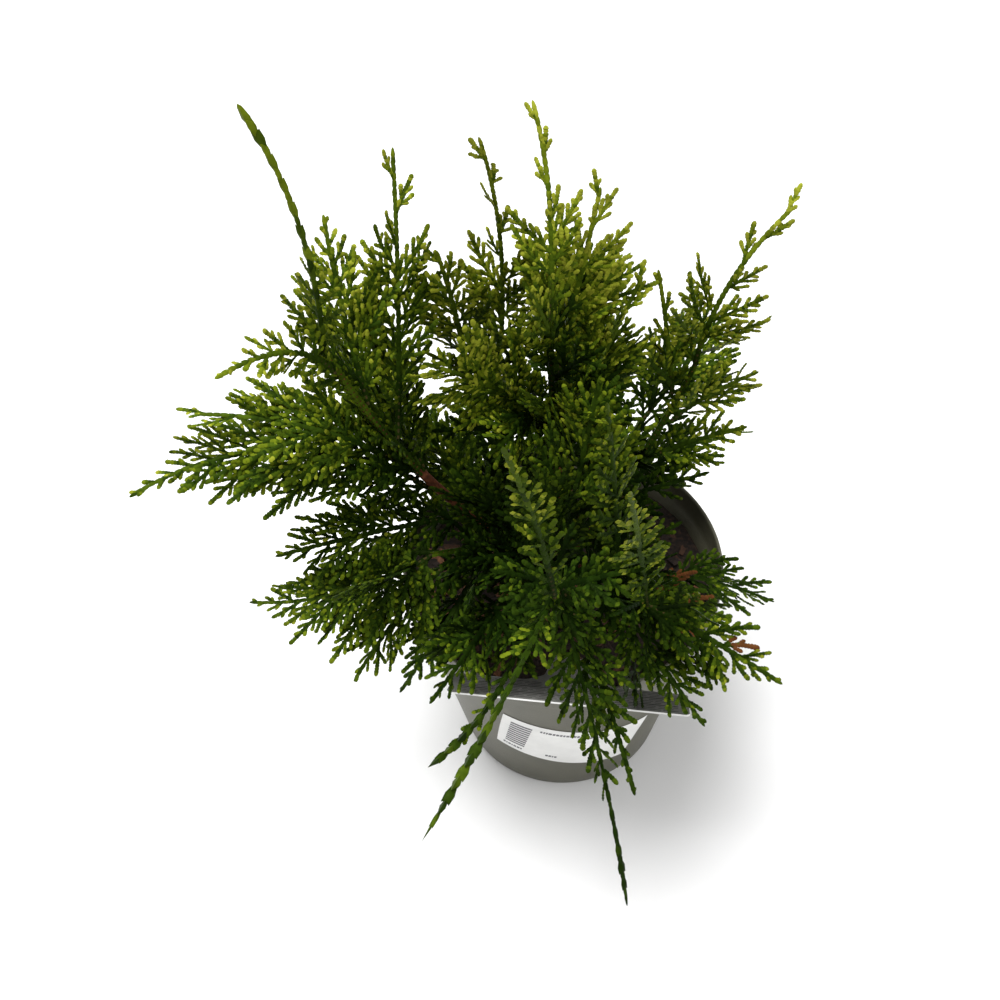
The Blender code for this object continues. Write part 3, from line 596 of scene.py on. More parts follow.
def fill_limb(leaves, rng, limb, length, level, first, last, bare=NOWHERE):
    """Small sprays all round a limb, each a fixed turn past the last one."""
    count = max(0, round(length * (last - first) / FILL_STEP))
    for i in range(count):
        share = first + (last - first) * (i + 0.5) / count
        if bare[0] < share < bare[1]:
            continue
        place, along = place_on(limb.fine, share)
        side = along.cross(UP).normalized()
        over = side.cross(along)
        turn = math.radians(FILL_TURN * i)
        out = side * math.cos(turn) + over * math.sin(turn)
        angle = math.radians(rng.uniform(*FILL_ANGLE))
        ahead = along * math.cos(angle) + out * math.sin(angle)
        if ahead.z < 0:
            ahead.z *= FILL_SAG
        ahead.normalize()
        look = (UP + out * 0.5 + FILL_LOOK).normalized()
        size = rng.uniform(*FILL_LENGTHS) * (1 - FILL_LOSS * share)
        small_spray(leaves, rng, place, ahead, look, size, size * FILL_SPREAD, level + FILL_SHADE * share)


def green_from(name):
    return BARE_BAND[1] if name == BARE_BOUGH else GREEN_FROM


def clothe_limb(leaves, rng, limb, length, first, level):
    """Long green scales in crossed pairs on the upper part of a bough."""
    count = round(length / LIMB_SCALE_STEP)
    for i in range(round(first * count), count):
        share = i / count
        place, along = place_on(limb.fine, share)
        side = along.cross(UP).normalized()
        over = side.cross(along)
        wide = limb.radius(share) * LIMB_SCALE_WIDTH
        for across in (side, over):
            lit = level + LIMB_SHADE * share + rng.uniform(-LIMB_JITTER, LIMB_JITTER)
            size = LIMB_SCALE_STEP * MM * LIMB_OVERLAP
            leaves.add(tone_name(lit, place), place, along, across, size, wide, False, LIMB_SCALE_FLAT)


# Meshes

SHARP_ANGLE = 40
BARK_RELIEF = 0.10  # in the limb's radius
RIDGES = (3.1, 0.16)  # how closely bark ridges lie round a limb, and how fast they wander along it
FLAKES = 0.55 / MM  # noise of the flakes between them


def new_object(name, bm, made, smooth=True):
    mesh = bpy.data.meshes.new(name)
    bm.to_mesh(mesh)
    bm.free()
    return mesh_object(name, mesh, made, smooth)


def mesh_object(name, mesh, made, smooth=True):
    mesh.materials.append(made)
    if smooth:
        mesh.shade_smooth()
        mesh.set_sharp_from_angle(angle=math.radians(SHARP_ANGLE))
    piece = bpy.data.objects.new(name, mesh)
    bpy.context.collection.objects.link(piece)
    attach(piece, "root")
    return piece


def ring_matrix(centre, ahead, look, radius):
    side = ahead.cross(look).normalized()
    over = side.cross(ahead)
    turn = Matrix((side, over, -ahead)).transposed().to_4x4()
    return Matrix.Translation(centre) @ turn @ Matrix.Diagonal((radius, radius, radius, 1))


def add_tube(bm, points, radii, sides, look=UP, relief=0.0, shift=0.0):
    """A closed tapering tube along a path, extruded ring by ring, with ridges of bark along it."""
    def ring_at(i):
        ahead = (points[min(i + 1, len(points) - 1)] - points[max(i - 1, 0)]).normalized()
        return ring_matrix(points[i], ahead, look, radii[i])
    circle = bmesh.ops.create_circle(bm, cap_ends=True, segments=sides, radius=1.0, matrix=ring_at(0))
    ring = circle["verts"]
    cap = ring[0].link_faces[0]
    edges = list(cap.edges)
    rings = [list(ring)]
    for i in range(1, len(points)):
        step = ring_at(i) @ ring_at(i - 1).inverted()
        out = bmesh.ops.extrude_edge_only(bm, edges=edges)["geom"]
        ring = [item for item in out if isinstance(item, bmesh.types.BMVert)]
        edges = [item for item in out if isinstance(item, bmesh.types.BMEdge)]
        bmesh.ops.transform(bm, matrix=step, verts=ring)
        rings.append(ring)
    bmesh.ops.contextual_create(bm, geom=edges)
    if relief:
        for i, ring in enumerate(rings):
            for vert in ring:
                out = (vert.co - points[i]).normalized()
                round_it = Vector((out.x, out.y, out.z * 0.6)) * RIDGES[0]
                ridge = noise.noise(round_it + Vector((0, shift, i * RIDGES[1])))
                flake = noise.noise(vert.co * FLAKES)
                vert.co += out * radii[i] * relief * (ridge * 1.2 + flake * 0.5)


# Materials

GRAIN_DETAIL = 4
BUMP_DETAIL = 3
BUMP_HEIGHT = 0.3 * MM
LEAF_MOTTLE = (0.72, 1.22)  # darkest and lightest of its mottle, in the leaf's own colour
LEAF_MOTTLE_SCALE = 260
LEAF_ROUGHNESS = 0.48
LEAF_GLOSS = 0.04
LEAF_GLOSS_TINT = (0.75, 1.0, 0.25)


def link(tree, source, target):
    tree.links.new(source, target)


def plain(name, colour, roughness):
    made = bpy.data.materials.new(name)
    made.use_nodes = True
    shader = made.node_tree.nodes["Principled BSDF"]
    shader.inputs["Base Color"].default_value = (*colour, 1)
    shader.inputs["Roughness"].default_value = roughness
    made.diffuse_color = (*colour, 1)
    return made


def mottled(name, stops, scale, roughness, bump=0.0, bump_scale=None):
    """Material whose colour runs through stops by noise in the piece's own space, with a fine bump."""
    made = plain(name, stops[0][1], roughness)
    tree = made.node_tree
    nodes = tree.nodes
    shader = nodes["Principled BSDF"]
    place = nodes.new("ShaderNodeTexCoord")
    grain = nodes.new("ShaderNodeTexNoise")
    grain.inputs["Scale"].default_value = scale
    grain.inputs["Detail"].default_value = GRAIN_DETAIL
    link(tree, place.outputs["Object"], grain.inputs["Vector"])
    ramp = nodes.new("ShaderNodeValToRGB")
    ramp.color_ramp.elements[0].position = stops[0][0]
    ramp.color_ramp.elements[0].color = (*stops[0][1], 1)
    ramp.color_ramp.elements[1].position = stops[-1][0]
    ramp.color_ramp.elements[1].color = (*stops[-1][1], 1)
    for position, colour in stops[1:-1]:
        ramp.color_ramp.elements.new(position).color = (*colour, 1)
    link(tree, grain.outputs["Fac"], ramp.inputs["Fac"])
    link(tree, ramp.outputs["Color"], shader.inputs["Base Color"])
    if bump:
        fine = nodes.new("ShaderNodeTexNoise")
        fine.inputs["Scale"].default_value = bump_scale
        fine.inputs["Detail"].default_value = BUMP_DETAIL
        link(tree, place.outputs["Object"], fine.inputs["Vector"])
        raised = nodes.new("ShaderNodeBump")
        raised.inputs["Strength"].default_value = bump
        raised.inputs["Distance"].default_value = BUMP_HEIGHT
        link(tree, fine.outputs["Fac"], raised.inputs["Height"])
        link(tree, raised.outputs["Normal"], shader.inputs["Normal"])
    return made


def leaf_material(tone):
    """Waxy leaf: a plain colour with a faint darker mottle."""
    colour = TONES[tone]
    darker, lighter = [tuple(share * c for c in colour) for share in LEAF_MOTTLE]
    stops = [(0.35, darker), (0.65, lighter)]
    made = mottled("leaf_" + tone, stops, LEAF_MOTTLE_SCALE, LEAF_ROUGHNESS)
    shader = made.node_tree.nodes["Principled BSDF"]
    shader.inputs["Specular IOR Level"].default_value = LEAF_GLOSS
    shader.inputs["Specular Tint"].default_value = (*LEAF_GLOSS_TINT, 1)
    return made


# Pieces

def build_foliage(stems):
    leaves = Leaves()
    for i, (name, spray) in enumerate(SPRAYS.items()):
        rng = random.Random(SEED + i)
        level = SPRAY_TONES.get(name, SPRAY_TONE)
        droop = 0.5 * (spray.face - 30) / 45 if spray.face > 30 else 0.0
        withering = WITHERED_BAND if name in WITHERED else NOWHERE
        stem = stems.sprays[name]
        grow_spray(
            leaves, rng, stem.fine, stem.look, spray, level, droop, withering, SLENDER.get(name),
            SPARSE.get(name, 1.0),
        )
        if name in ALONE:
            continue
        for share, angle, size, side_turn in COMPANIONS:
            place, along = place_on(stem.fine, share)
            across = along.cross(stem.look).normalized()
            over = across.cross(along)
            tilt = Matrix.Rotation(math.radians(angle * 0.5), 3, across * side_turn)
            turn = Matrix.Rotation(math.radians(rng.uniform(*COMPANION_TURNS) * side_turn), 3, over)
            ahead = turn @ (tilt @ along)
            look = Matrix.Rotation(math.radians(angle * side_turn), 3, along) @ over
            small_spray(
                leaves, rng, place, ahead, look, spray.length * size, spray.spread * COMPANION_SPREAD,
                level - COMPANION_SHADE,
            )
    rng = random.Random(SEED)
    trunk = stems.limbs["trunk"]
    fill_limb(leaves, rng, trunk, TRUNK_LENGTH, TRUNK_SHADES[0], *TRUNK_FILL)
    clothe_limb(leaves, rng, trunk, TRUNK_LENGTH, TRUNK_GREEN_FROM, TRUNK_SHADES[1])
    for name, bough in BOUGHS.items():
        limb = stems.limbs[name]
        bare = BARE_BAND if name == BARE_BOUGH else NOWHERE
        last = FILL_TO.get(name, 1.0)
        fill_limb(leaves, rng, limb, bough.length, BOUGH_SHADES[0], FILL_FROM, last, bare)
        clothe_limb(leaves, rng, limb, bough.length, green_from(name), BOUGH_SHADES[1])
    count = sum(len(rows) for rows in leaves.rows.values())
    print("scale leaves:", count, "triangles:", count * len(SCALE_FACES))
    for tone, rows in leaves.rows.items():
        made = leaf_material(tone)
        for part, first in enumerate(range(0, len(rows), SCALES_A_PIECE)):
            name = f"leaves_{tone}_{part + 1}"
            piece = mesh_object(name, scales_mesh(name, rows[first:first + SCALES_A_PIECE]), made)
            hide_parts(*MASSES)


BARK_RINGS = 60
TRUNK_SIDES = 16
LIMB_SIDES = 12
TWIG_SIDES = 7
FLARE_CURVE = 2.2
TWIG_TO = 0.3  # share of a spray's stem past which green scales cover it
TWIG_WIDTHS = (0.5, 0.2)  # width of a twig at its foot in its stem's, and what it loses
BARK_GLOSS = 0.15


def build_limbs(stems):
    bark = mottled(
        "bark_brown",
        [(0.3, (0.024, 0.008, 0.004)), (0.5, (0.075, 0.021, 0.008)), (0.72, (0.150, 0.055, 0.022))],
        320, 0.85, 0.6, 900,
    )
    bm = bmesh.new()
    trunk = stems.limbs["trunk"]
    points = []
    radii = []
    for i in range(BARK_RINGS + 1):
        share = i / BARK_RINGS
        centre, _ = place_on(trunk.points, share)
        height = share * TRUNK_LENGTH
        flare = max(0.0, 1 - height / FLARE_HEIGHT)
        points.append(centre)
        slim = 1 if share < TRUNK_GREEN_FROM else GREEN_SLIM
        radii.append(trunk.radius(share) * slim + (TRUNK_FLARE - TRUNK_FOOT) * MM * flare ** FLARE_CURVE)
    add_tube(bm, points, radii, TRUNK_SIDES, relief=BARK_RELIEF)
    floor = SOIL_LEVEL * MM
    for vert in bm.verts:
        vert.co.z = max(vert.co.z, floor)
    bmesh.ops.recalc_face_normals(bm, faces=bm.faces)
    piece = new_object("trunk_bark", bm, bark)
    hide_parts("trunk")
    bm = bmesh.new()
    for i, name in enumerate(BOUGHS):
        limb = stems.limbs[name]
        count = len(limb.fine) - 1
        green = green_from(name)
        shares = [j / count for j in range(count + 1)]
        radii = [limb.radius(share) * (1 if share < green else GREEN_SLIM) for share in shares]
        add_tube(bm, limb.fine, radii, LIMB_SIDES, relief=BARK_RELIEF, shift=i * 7.0)
    bmesh.ops.recalc_face_normals(bm, faces=bm.faces)
    piece = new_object("bough_bark", bm, bark)
    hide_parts(*BOUGHS)
    twig = mottled(
        "twig_bark",
        [(0.35, (0.016, 0.018, 0.004)), (0.7, (0.055, 0.040, 0.010))],
        420, 0.9, 0.3, 1200,
    )
    for made in (bark, twig):
        made.node_tree.nodes["Principled BSDF"].inputs["Specular IOR Level"].default_value = BARK_GLOSS
    bm = bmesh.new()
    for name, stem in stems.sprays.items():
        count = len(stem.fine) - 1
        last = round(count * TWIG_TO)
        slims = [TWIG_WIDTHS[0] - TWIG_WIDTHS[1] * j / last for j in range(last + 1)]
        radii = [stem.radius(j / count) * slim for j, slim in enumerate(slims)]
        add_tube(bm, stem.fine[:last + 1], radii, TWIG_SIDES, stem.look)
    bmesh.ops.recalc_face_normals(bm, faces=bm.faces)
    piece = new_object("twigs", bm, twig)
    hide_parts(*MASSES)


MERGED = 0.005 * MM  # points nearer than this are one
FOOT_HOLLOW = 0.8  # millimetres that the underside is raised inside its foot ring
FOOT_RING = 7
WALL_STEP = 8
LIP_STEPS = 6
POT_STEPS = 128
DRAIN_SIDES = 24


def wall_radius(height):
    """Outer radius of the pot's wall at a height, in millimetres."""
    top = POT_HEIGHT - POT_RIM_DEPTH
    return POT_FOOT_RADIUS + (POT_RIM_RADIUS - POT_LIP - POT_FOOT_RADIUS) * height / top


def pot_profile():
    """Half section of the pot from the middle of its underside round to the middle of its floor."""
    wall_top = POT_HEIGHT - POT_RIM_DEPTH
    outer = POT_RIM_RADIUS
    edge = POT_WALL / 2
    profile = [
        (0, FOOT_HOLLOW), (POT_FOOT_RADIUS - FOOT_RING, FOOT_HOLLOW), (POT_FOOT_RADIUS - FOOT_RING + 1, 0),
        (POT_FOOT_RADIUS - POT_FOOT_CHAMFER, 0), (POT_FOOT_RADIUS - 0.4, 0.4), (wall_radius(2), 2),
    ]
    profile += [(wall_radius(h), h) for h in range(10, wall_top - 6, WALL_STEP)]
    profile += [(wall_radius(wall_top - 6), wall_top - 6), (wall_radius(wall_top - 3) + 0.4, wall_top - 3)]
    profile += [(outer - 2.6, wall_top - 1), (outer - 0.8, wall_top), (outer, wall_top + 1.4)]
    profile += [(outer, POT_HEIGHT - 5), (outer, POT_HEIGHT - edge)]
    for k in range(1, LIP_STEPS):
        turn = math.pi * k / LIP_STEPS
        profile.append((outer - edge + edge * math.cos(turn), POT_HEIGHT - edge + edge * math.sin(turn)))
    inner = outer - POT_WALL
    profile += [(inner, POT_HEIGHT - edge), (inner - 0.4, wall_top + 3), (inner - 2.2, wall_top)]
    profile += [(wall_radius(wall_top - 2) - POT_WALL, wall_top - 2)]
    profile += [(wall_radius(h) - POT_WALL, h) for h in (100, 60, 20)]
    profile += [(wall_radius(POT_FLOOR) - POT_WALL, POT_FLOOR), (0, POT_FLOOR)]
    return profile


def spun(profile, steps):
    """Closed bmesh spun round Z from an open profile that starts and ends on the axis."""
    bm = bmesh.new()
    verts = [bm.verts.new((radius * MM, 0, height * MM)) for radius, height in profile]
    edges = [bm.edges.new(pair) for pair in zip(verts, verts[1:])]
    bmesh.ops.spin(
        bm, geom=verts + edges, cent=(0, 0, 0), axis=(0, 0, 1), angle=math.tau, steps=steps, use_merge=True
    )
    bmesh.ops.remove_doubles(bm, verts=bm.verts, dist=MERGED)
    bmesh.ops.recalc_face_normals(bm, faces=bm.faces)
    return bm


def build_pot():
    plastic = mottled(
        "pot_plastic_taupe",
        [(0.3, (0.063, 0.061, 0.038)), (0.7, (0.083, 0.080, 0.052))],
        60, 0.42, 0.25, 1400,
    )
    piece = new_object("pot_moulded", spun(pot_profile(), POT_STEPS), plastic)
    bm = bmesh.new()
    for i in range(DRAIN_HOLES):
        turn = math.tau * (i + 0.5) / DRAIN_HOLES
        place = Matrix.Translation((
            DRAIN_CIRCLE * MM * math.cos(turn), DRAIN_CIRCLE * MM * math.sin(turn), POT_FLOOR / 2 * MM
        ))
        bmesh.ops.create_cone(
            bm, cap_ends=True, segments=DRAIN_SIDES, radius1=DRAIN_RADIUS * MM, radius2=DRAIN_RADIUS * MM,
            depth=4 * POT_FLOOR * MM, matrix=place,
        )
    mesh = bpy.data.meshes.new("drain_cutters")
    bm.to_mesh(mesh)
    bm.free()
    cutter = bpy.data.objects.new("drain_cutters", mesh)
    bpy.context.collection.objects.link(cutter)
    step = piece.modifiers.new("drain", "BOOLEAN")
    step.operation = "DIFFERENCE"
    step.solver = "EXACT"
    step.object = cutter
    bpy.context.view_layer.update()
    seen = piece.evaluated_get(bpy.context.evaluated_depsgraph_get())
    made = bpy.data.meshes.new_from_object(seen)
    piece.modifiers.clear()
    piece.data = made
    bpy.data.objects.remove(cutter)
    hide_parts("pot")


SOIL_BUMPS = 1.7  # millimetres
SOIL_SLOPE = 14  # millimetres from the flat middle out to the full bumps
LUMPS = (0.11, 0.33)  # how closely big and small lumps lie
SOIL_RINGS = 40
SOIL_STEPS = 120
CHIPS = 420
CHIP_LENGTHS = (4, 13)
CHIP_WIDTHS = (0.25, 0.5)  # in their length
CHIP_HEIGHTS = (0.7, 1.8)
CHIP_TILTS = (0.28, 0.22)  # usual tilt about their two ways, in radians
CHIP_SKEW = (0.7, 1.1)
CHIP_RAISED = (0.2, 1.0)
CHIP_SHARES = (5, 4, 2)
CHIP_MOTTLE = (0.5, 1.4)  # darkest and lightest, in their own brown
CHIPS_CLEAR = 10  # millimetres round the trunk


def soil_height(x, y):
    """Height of the soil's surface at a place, in metres: level at the trunk, lumpy further out."""
    radius = math.hypot(x, y) / MM
    rough = min(1.0, max(0.0, (radius - SOIL_FLAT) / SOIL_SLOPE))
    lumps = noise.noise(Vector((x, y, 0)) / MM * LUMPS[0])
    lumps += 0.5 * noise.noise(Vector((x, y, 9 * MM)) / MM * LUMPS[1])
    return SOIL_LEVEL * MM - GAP + lumps * rough * SOIL_BUMPS * MM


def build_soil():
    top = SOIL_LEVEL - GAP / MM
    floor = POT_FLOOR + GAP / MM
    edge = wall_radius(top) - POT_WALL - 2 * GAP / MM
    profile = [(0, floor), (wall_radius(floor) - POT_WALL - 2 * GAP / MM, floor), (edge, top - 1)]
    profile += [(edge * k / SOIL_RINGS, top) for k in range(SOIL_RINGS, -1, -1)]
    bm = spun(profile, SOIL_STEPS)
    for vert in bm.verts:
        if vert.co.z > (top - 0.5) * MM:
            vert.co.z = soil_height(vert.co.x, vert.co.y)
    earth = mottled(
        "earth_dark",
        [(0.35, (0.006, 0.0035, 0.002)), (0.55, (0.018, 0.010, 0.006)), (0.75, (0.05, 0.026, 0.013))],
        500, 0.95, 1.0, 1500,
    )
    piece = new_object("soil_surface", bm, earth)
    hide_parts("soil")
    build_chips(edge)


CHIP = np.array([(x, y, z) for x in (-1, 1) for y in (-1, 1) for z in (-1, 1)], float) * 0.5
CHIP_FACES = np.array([
    (0, 1, 3), (0, 3, 2), (4, 6, 7), (4, 7, 5), (0, 4, 5), (0, 5, 1),
    (2, 3, 7), (2, 7, 6), (0, 2, 6), (0, 6, 4), (1, 5, 7), (1, 7, 3),
])


def build_chips(edge):
    """Chips of composted bark, strewn flat or tilted over the soil in a few browns."""
    rng = random.Random(SEED)
    browns = {
        "umber": (0.020, 0.010, 0.006),
        "brown": (0.060, 0.026, 0.012),
        "rust": (0.150, 0.060, 0.024),
    }
    lists = {name: [] for name in browns}
    for _ in range(CHIPS):
        reach = edge * math.sqrt(rng.uniform(0.02, 0.94)) * MM
        turn = rng.uniform(0, math.tau)
        length = rng.uniform(*CHIP_LENGTHS)
        x = reach * math.cos(turn)
        y = reach * math.sin(turn)
        if reach < CHIPS_CLEAR * MM or reach > (edge - length / 2) * MM:
            continue
        size = Vector((length, length * rng.uniform(*CHIP_WIDTHS), rng.uniform(*CHIP_HEIGHTS)))
        spin = Matrix.Rotation(rng.uniform(0, math.tau), 3, "Z")
        tilt = Matrix.Rotation(rng.gauss(0, CHIP_TILTS[0]), 3, "X")
        tilt = tilt @ Matrix.Rotation(rng.gauss(0, CHIP_TILTS[1]), 3, "Y")
        centre = Vector((x, y, soil_height(x, y) + rng.uniform(*CHIP_RAISED) * MM))
        verts = []
        for corner in CHIP:
            skew = Vector([c * s * rng.uniform(*CHIP_SKEW) for c, s in zip(corner, size)])
            verts.append(centre + spin @ (tilt @ skew) * MM)
        lists[rng.choices(list(browns), CHIP_SHARES)[0]].append([tuple(v) for v in verts])
    for name, chips in lists.items():
        verts = np.array(chips)
        faces = CHIP_FACES[None] + (np.arange(len(chips)) * 8)[:, None, None]
        darker, lighter = [tuple(share * c for c in browns[name]) for share in CHIP_MOTTLE]
        made = mottled("chip_" + name, [(0.3, darker), (0.7, lighter)], 380, 0.85, 0.8, 1100)
        mesh = joined_mesh(name, verts.reshape(-1, 3), faces.reshape(-1, 3))
        piece = mesh_object("bark_chips_" + name, mesh, made)


# Ruled lines on the card, with a heavier one after every few. Millimetres.
CARD_ROWS = 11
CARD_RULE_EVERY = 4
CARD_LINE = 0.42
CARD_RULE = 0.8
CARD_MARGIN = 2.6
CARD_INDENT = 5
CARD_WORDS = (3, 9)  # lengths of the dashes in a line
CARD_SPACES = (0.8, 1.8)
CARD_CORNER = 2.2
CARD_SHOULDER = 8
CARD_TAPER = 0.7  # width of the tongue's end, in its own
CARD_INK = (0.02, 0.08)  # how far a line's middle is off the card's face, and its thickness


def card_place():
    """Matrix from the card's own plane, X across and Y up its slope from the top edge, to its place."""
    lean = Matrix.Rotation(math.radians(180 - CARD_RISE), 4, "X")
    turn = Matrix.Rotation(math.radians(CARD_YAW), 4, "Z")
    return Matrix.Translation(Vector(CARD_TOP) * MM) @ turn @ lean


def card_length():
    return (CARD_TOP[2] - SOIL_LEVEL) / math.sin(math.radians(CARD_RISE)) + CARD_BURIED


def card_outline(wide, tongue, drop):
    half = wide / 2
    stalk = tongue / 2
    return [
        (-half, 0), (half, 0), (half, CARD_BAND), (stalk + CARD_SHOULDER, CARD_BAND),
        (stalk, CARD_BAND + CARD_SHOULDER), (stalk * CARD_TAPER, drop), (-stalk * CARD_TAPER, drop),
        (-stalk, CARD_BAND + CARD_SHOULDER), (-stalk - CARD_SHOULDER, CARD_BAND), (-half, CARD_BAND),
    ]


def build_card():
    bm = bmesh.new()
    outline = card_outline(CARD_WIDTH, CARD_TONGUE, card_length())
    face = bm.faces.new([bm.verts.new((x * MM, -y * MM, -CARD_THICK * MM / 2)) for x, y in outline])
    bmesh.ops.bevel(
        bm, geom=list(face.verts), offset=CARD_CORNER * MM, offset_type="OFFSET", affect="VERTICES",
        segments=4, profile=0.5, material=-1,
    )
    raised = bmesh.ops.extrude_face_region(bm, geom=list(bm.faces))["geom"]
    moved = [item for item in raised if isinstance(item, bmesh.types.BMVert)]
    bmesh.ops.translate(bm, verts=moved, vec=(0, 0, CARD_THICK * MM))
    bmesh.ops.recalc_face_normals(bm, faces=bm.faces)
    bmesh.ops.transform(bm, matrix=card_place(), verts=bm.verts)
    grey = mottled(
        "card_grey", [(0.3, (0.135, 0.135, 0.125)), (0.7, (0.175, 0.175, 0.160))], 90, 0.45, 0.1, 900
    )
    piece = new_object("card_sheet", bm, grey)
    # Near-white on the card's thin edges: a painted highlight along the lit edge.
    edge_highlight = mottled("card_edge_painted_highlight", [(0.3, (0.78, 0.78, 0.76)), (0.7, (0.86, 0.86, 0.84))], 200, 0.5)
    piece.data.materials.append(edge_highlight)
    flat = (card_place().to_3x3() @ Vector((0, 0, 1))).normalized()
    for face in piece.data.polygons:
        if abs(face.normal.dot(flat)) < 0.5:
            face.material_index = 1
    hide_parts("label_card")
    bm = bmesh.new()
    rng = random.Random(SEED)
    for row in range(CARD_ROWS):
        y = CARD_MARGIN + row * (CARD_BAND - 2 * CARD_MARGIN) / (CARD_ROWS - 1)
        rule = row % CARD_RULE_EVERY == CARD_RULE_EVERY - 1
        x = -CARD_WIDTH / 2 + CARD_INDENT
        while x < CARD_WIDTH / 2 - CARD_INDENT - 2:
            run = CARD_WIDTH if rule else rng.uniform(*CARD_WORDS)
            run = min(run, CARD_WIDTH / 2 - CARD_INDENT - x)
            for side in (1, -1):
                middle = Vector((x + run / 2, -y, side * (CARD_THICK / 2 + CARD_INK[0])))
                place = card_place() @ Matrix.Translation(middle * MM)
                size = Vector((run, CARD_RULE if rule else CARD_LINE, CARD_INK[1])) * MM
                bmesh.ops.create_cube(bm, size=1.0, matrix=place @ Matrix.Diagonal((*size, 1)))
            x += run + rng.uniform(*CARD_SPACES)
    ink = mottled("line_grey", [(0.3, (0.022, 0.022, 0.021)), (0.7, (0.036, 0.036, 0.034))], 300, 0.6)
    piece = new_object("card_lines", bm, ink, smooth=False)


# Sticker on the front of the wall: turn round Z at its left and right end in degrees, and the height
# of its upper and lower edge there in millimetres.
STICKER_TURNS = (-126, -62)
STICKER_SKEW = 8  # degrees that its upper edge is turned past its lower edge
STICKER_UPPER = (97, 72)
STICKER_LOWER = (50, 29)
STICKER_PROUD = 0.25
# Printing on it, as shares of its width and height: a block of stripes and rows of dashes.
STRIPE_ROWS = 10
STRIPES_ACROSS = (0.06, 0.20)
STRIPES_UP = (0.20, 0.90)
STRIPE_HEIGHT = 0.042
DASH_ROWS = (  # from, to, height
    (0.25, 0.50, 0.84), (0.58, 0.72, 0.80), (0.05, 0.19, 0.08), (0.36, 0.44, 0.12),
)
DASH_HEIGHT = 0.05
DASH_LENGTHS = (0.008, 0.022)
DASH_SPACE = 0.006
PRINT_PROUD = 0.06


def on_wall(across, up, proud):
    """Place on the sticker at shares of its width and height, so far proud of the wall."""
    turn = STICKER_TURNS[0] + (STICKER_TURNS[1] - STICKER_TURNS[0]) * across + STICKER_SKEW * up
    turn = math.radians(turn)
    upper = STICKER_UPPER[0] + (STICKER_UPPER[1] - STICKER_UPPER[0]) * across
    lower = STICKER_LOWER[0] + (STICKER_LOWER[1] - STICKER_LOWER[0]) * across
    height = lower + (upper - lower) * up
    reach = wall_radius(height) + proud
    return Vector((reach * math.cos(turn), reach * math.sin(turn), height)) * MM


def patch(bm, across, up, proud, thick, cells):
    """Thin plate that lies on the wall between shares across and up the sticker."""
    out = bmesh.ops.create_grid(bm, x_segments=cells[0], y_segments=cells[1], size=0.5)
    for vert in out["verts"]:
        a = across[0] + (across[1] - across[0]) * (vert.co.x + 0.5)
        u = up[0] + (up[1] - up[0]) * (vert.co.y + 0.5)
        vert.co = on_wall(a, u, proud)
    faces = list({face for vert in out["verts"] for face in vert.link_faces})
    bmesh.ops.solidify(bm, geom=faces, thickness=thick * MM)


def build_sticker():
    bm = bmesh.new()
    patch(bm, (0, 1), (0, 1), STICKER_PROUD, 0.2, (48, 4))
    bmesh.ops.recalc_face_normals(bm, faces=bm.faces)
    paper = mottled(
        "sticker_white", [(0.3, (0.70, 0.70, 0.68)), (0.7, (0.80, 0.80, 0.78))], 70, 0.55, 0.1, 900
    )
    piece = new_object("sticker", bm, paper)
    bm = bmesh.new()
    for row in range(STRIPE_ROWS):
        low = STRIPES_UP[0] + (STRIPES_UP[1] - STRIPES_UP[0]) * row / STRIPE_ROWS
        patch(bm, STRIPES_ACROSS, (low, low + STRIPE_HEIGHT), STICKER_PROUD + PRINT_PROUD, 0.05, (8, 1))
    rng = random.Random(SEED)
    for first, last, low in DASH_ROWS:
        across = first
        while across < last:
            run = rng.uniform(*DASH_LENGTHS)
            ends = (across, across + run)
            patch(bm, ends, (low, low + DASH_HEIGHT), STICKER_PROUD + PRINT_PROUD, 0.05, (2, 1))
            across += run + DASH_SPACE
    bmesh.ops.recalc_face_normals(bm, faces=bm.faces)
    ink = mottled("stripe_grey", [(0.3, (0.09, 0.09, 0.10)), (0.7, (0.13, 0.13, 0.14))], 300, 0.6)
    piece = new_object("sticker_stripes", bm, ink, smooth=False)


def main():
    stems = Stems()
    build_foliage(stems)
    build_limbs(stems)
    build_pot()
    build_soil()
    build_card()
    build_sticker()


# Studio

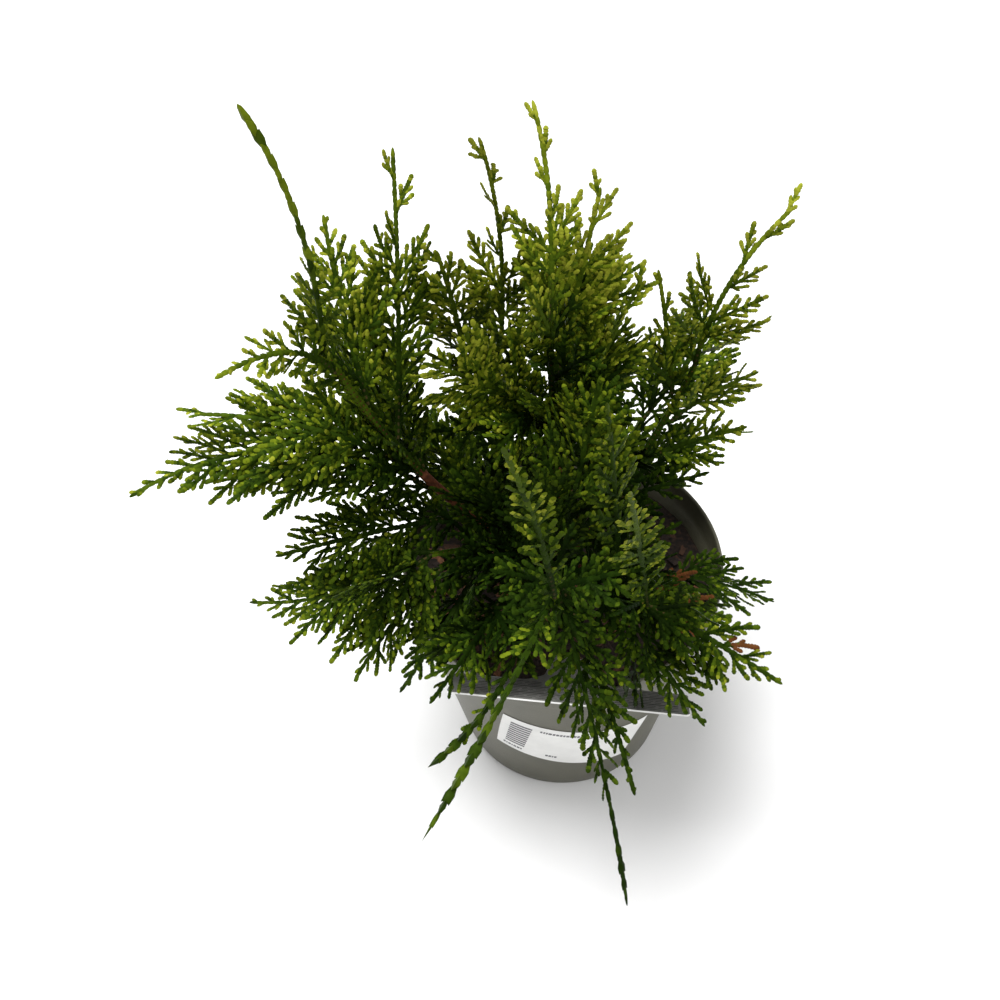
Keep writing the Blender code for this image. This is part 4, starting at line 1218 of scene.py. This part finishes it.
CAMERA_PLACE = (-0.0314, -0.3625, 0.6017)
CAMERA_PITCH = 48.7
CAMERA_ROLL = -3.1
CAMERA_FOCAL = 1100 / 1000  # in widths of the picture
FLOOR_HALF = 3.0
FLOOR_COLOUR = (0.88, 0.88, 0.88)
WORLD_STRENGTH = 0.45
LIGHTS_AIM = Vector((0, 0, 0.2))
LIGHTS = {  # place, size, watts
    "key": ((-0.40, 0.15, 1.7), 1.0, 47),
    "fill": ((1.0, -0.8, 1.2), 1.2, 9),
}


def build_camera():
    pitch = math.radians(CAMERA_PITCH)
    roll = math.radians(CAMERA_ROLL)
    ahead = Vector((0, math.cos(pitch), -math.sin(pitch)))
    up = Vector((0, math.sin(pitch), math.cos(pitch)))
    right = Vector((1, 0, 0))
    turned_right = right * math.cos(roll) + up * math.sin(roll)
    turned_up = up * math.cos(roll) - right * math.sin(roll)
    data = bpy.data.cameras.new("camera")
    data.sensor_width = 36.0
    data.lens = CAMERA_FOCAL * data.sensor_width
    camera = bpy.data.objects.new("camera", data)
    turn = Matrix((turned_right, turned_up, -ahead)).transposed().to_4x4()
    camera.matrix_world = Matrix.Translation(CAMERA_PLACE) @ turn
    bpy.context.collection.objects.link(camera)
    bpy.context.scene.camera = camera


def soft_light(name, place, size, watts):
    data = bpy.data.lights.new(name, "AREA")
    data.size = size
    data.energy = watts
    light = bpy.data.objects.new(name, data)
    light.location = place
    aim = LIGHTS_AIM - Vector(place)
    light.rotation_euler = aim.to_track_quat("-Z", "Y").to_euler()
    bpy.context.collection.objects.link(light)


def build_studio():
    bm = bmesh.new()
    bmesh.ops.create_grid(bm, x_segments=4, y_segments=4, size=FLOOR_HALF)
    mesh = bpy.data.meshes.new("floor")
    bm.to_mesh(mesh)
    bm.free()
    mesh.materials.append(plain("floor_pale", FLOOR_COLOUR, 0.9))
    floor = bpy.data.objects.new("floor", mesh)
    bpy.context.collection.objects.link(floor)
    world = bpy.data.worlds.new("studio")
    world.use_nodes = True
    background = world.node_tree.nodes["Background"]
    background.inputs["Color"].default_value = (1, 1, 1, 1)
    background.inputs["Strength"].default_value = WORLD_STRENGTH
    bpy.context.scene.world = world
    for name, (place, size, watts) in LIGHTS.items():
        soft_light(name, place, size, watts)
    bpy.context.scene.view_settings.view_transform = "Standard"


main()
build_camera()
build_studio()
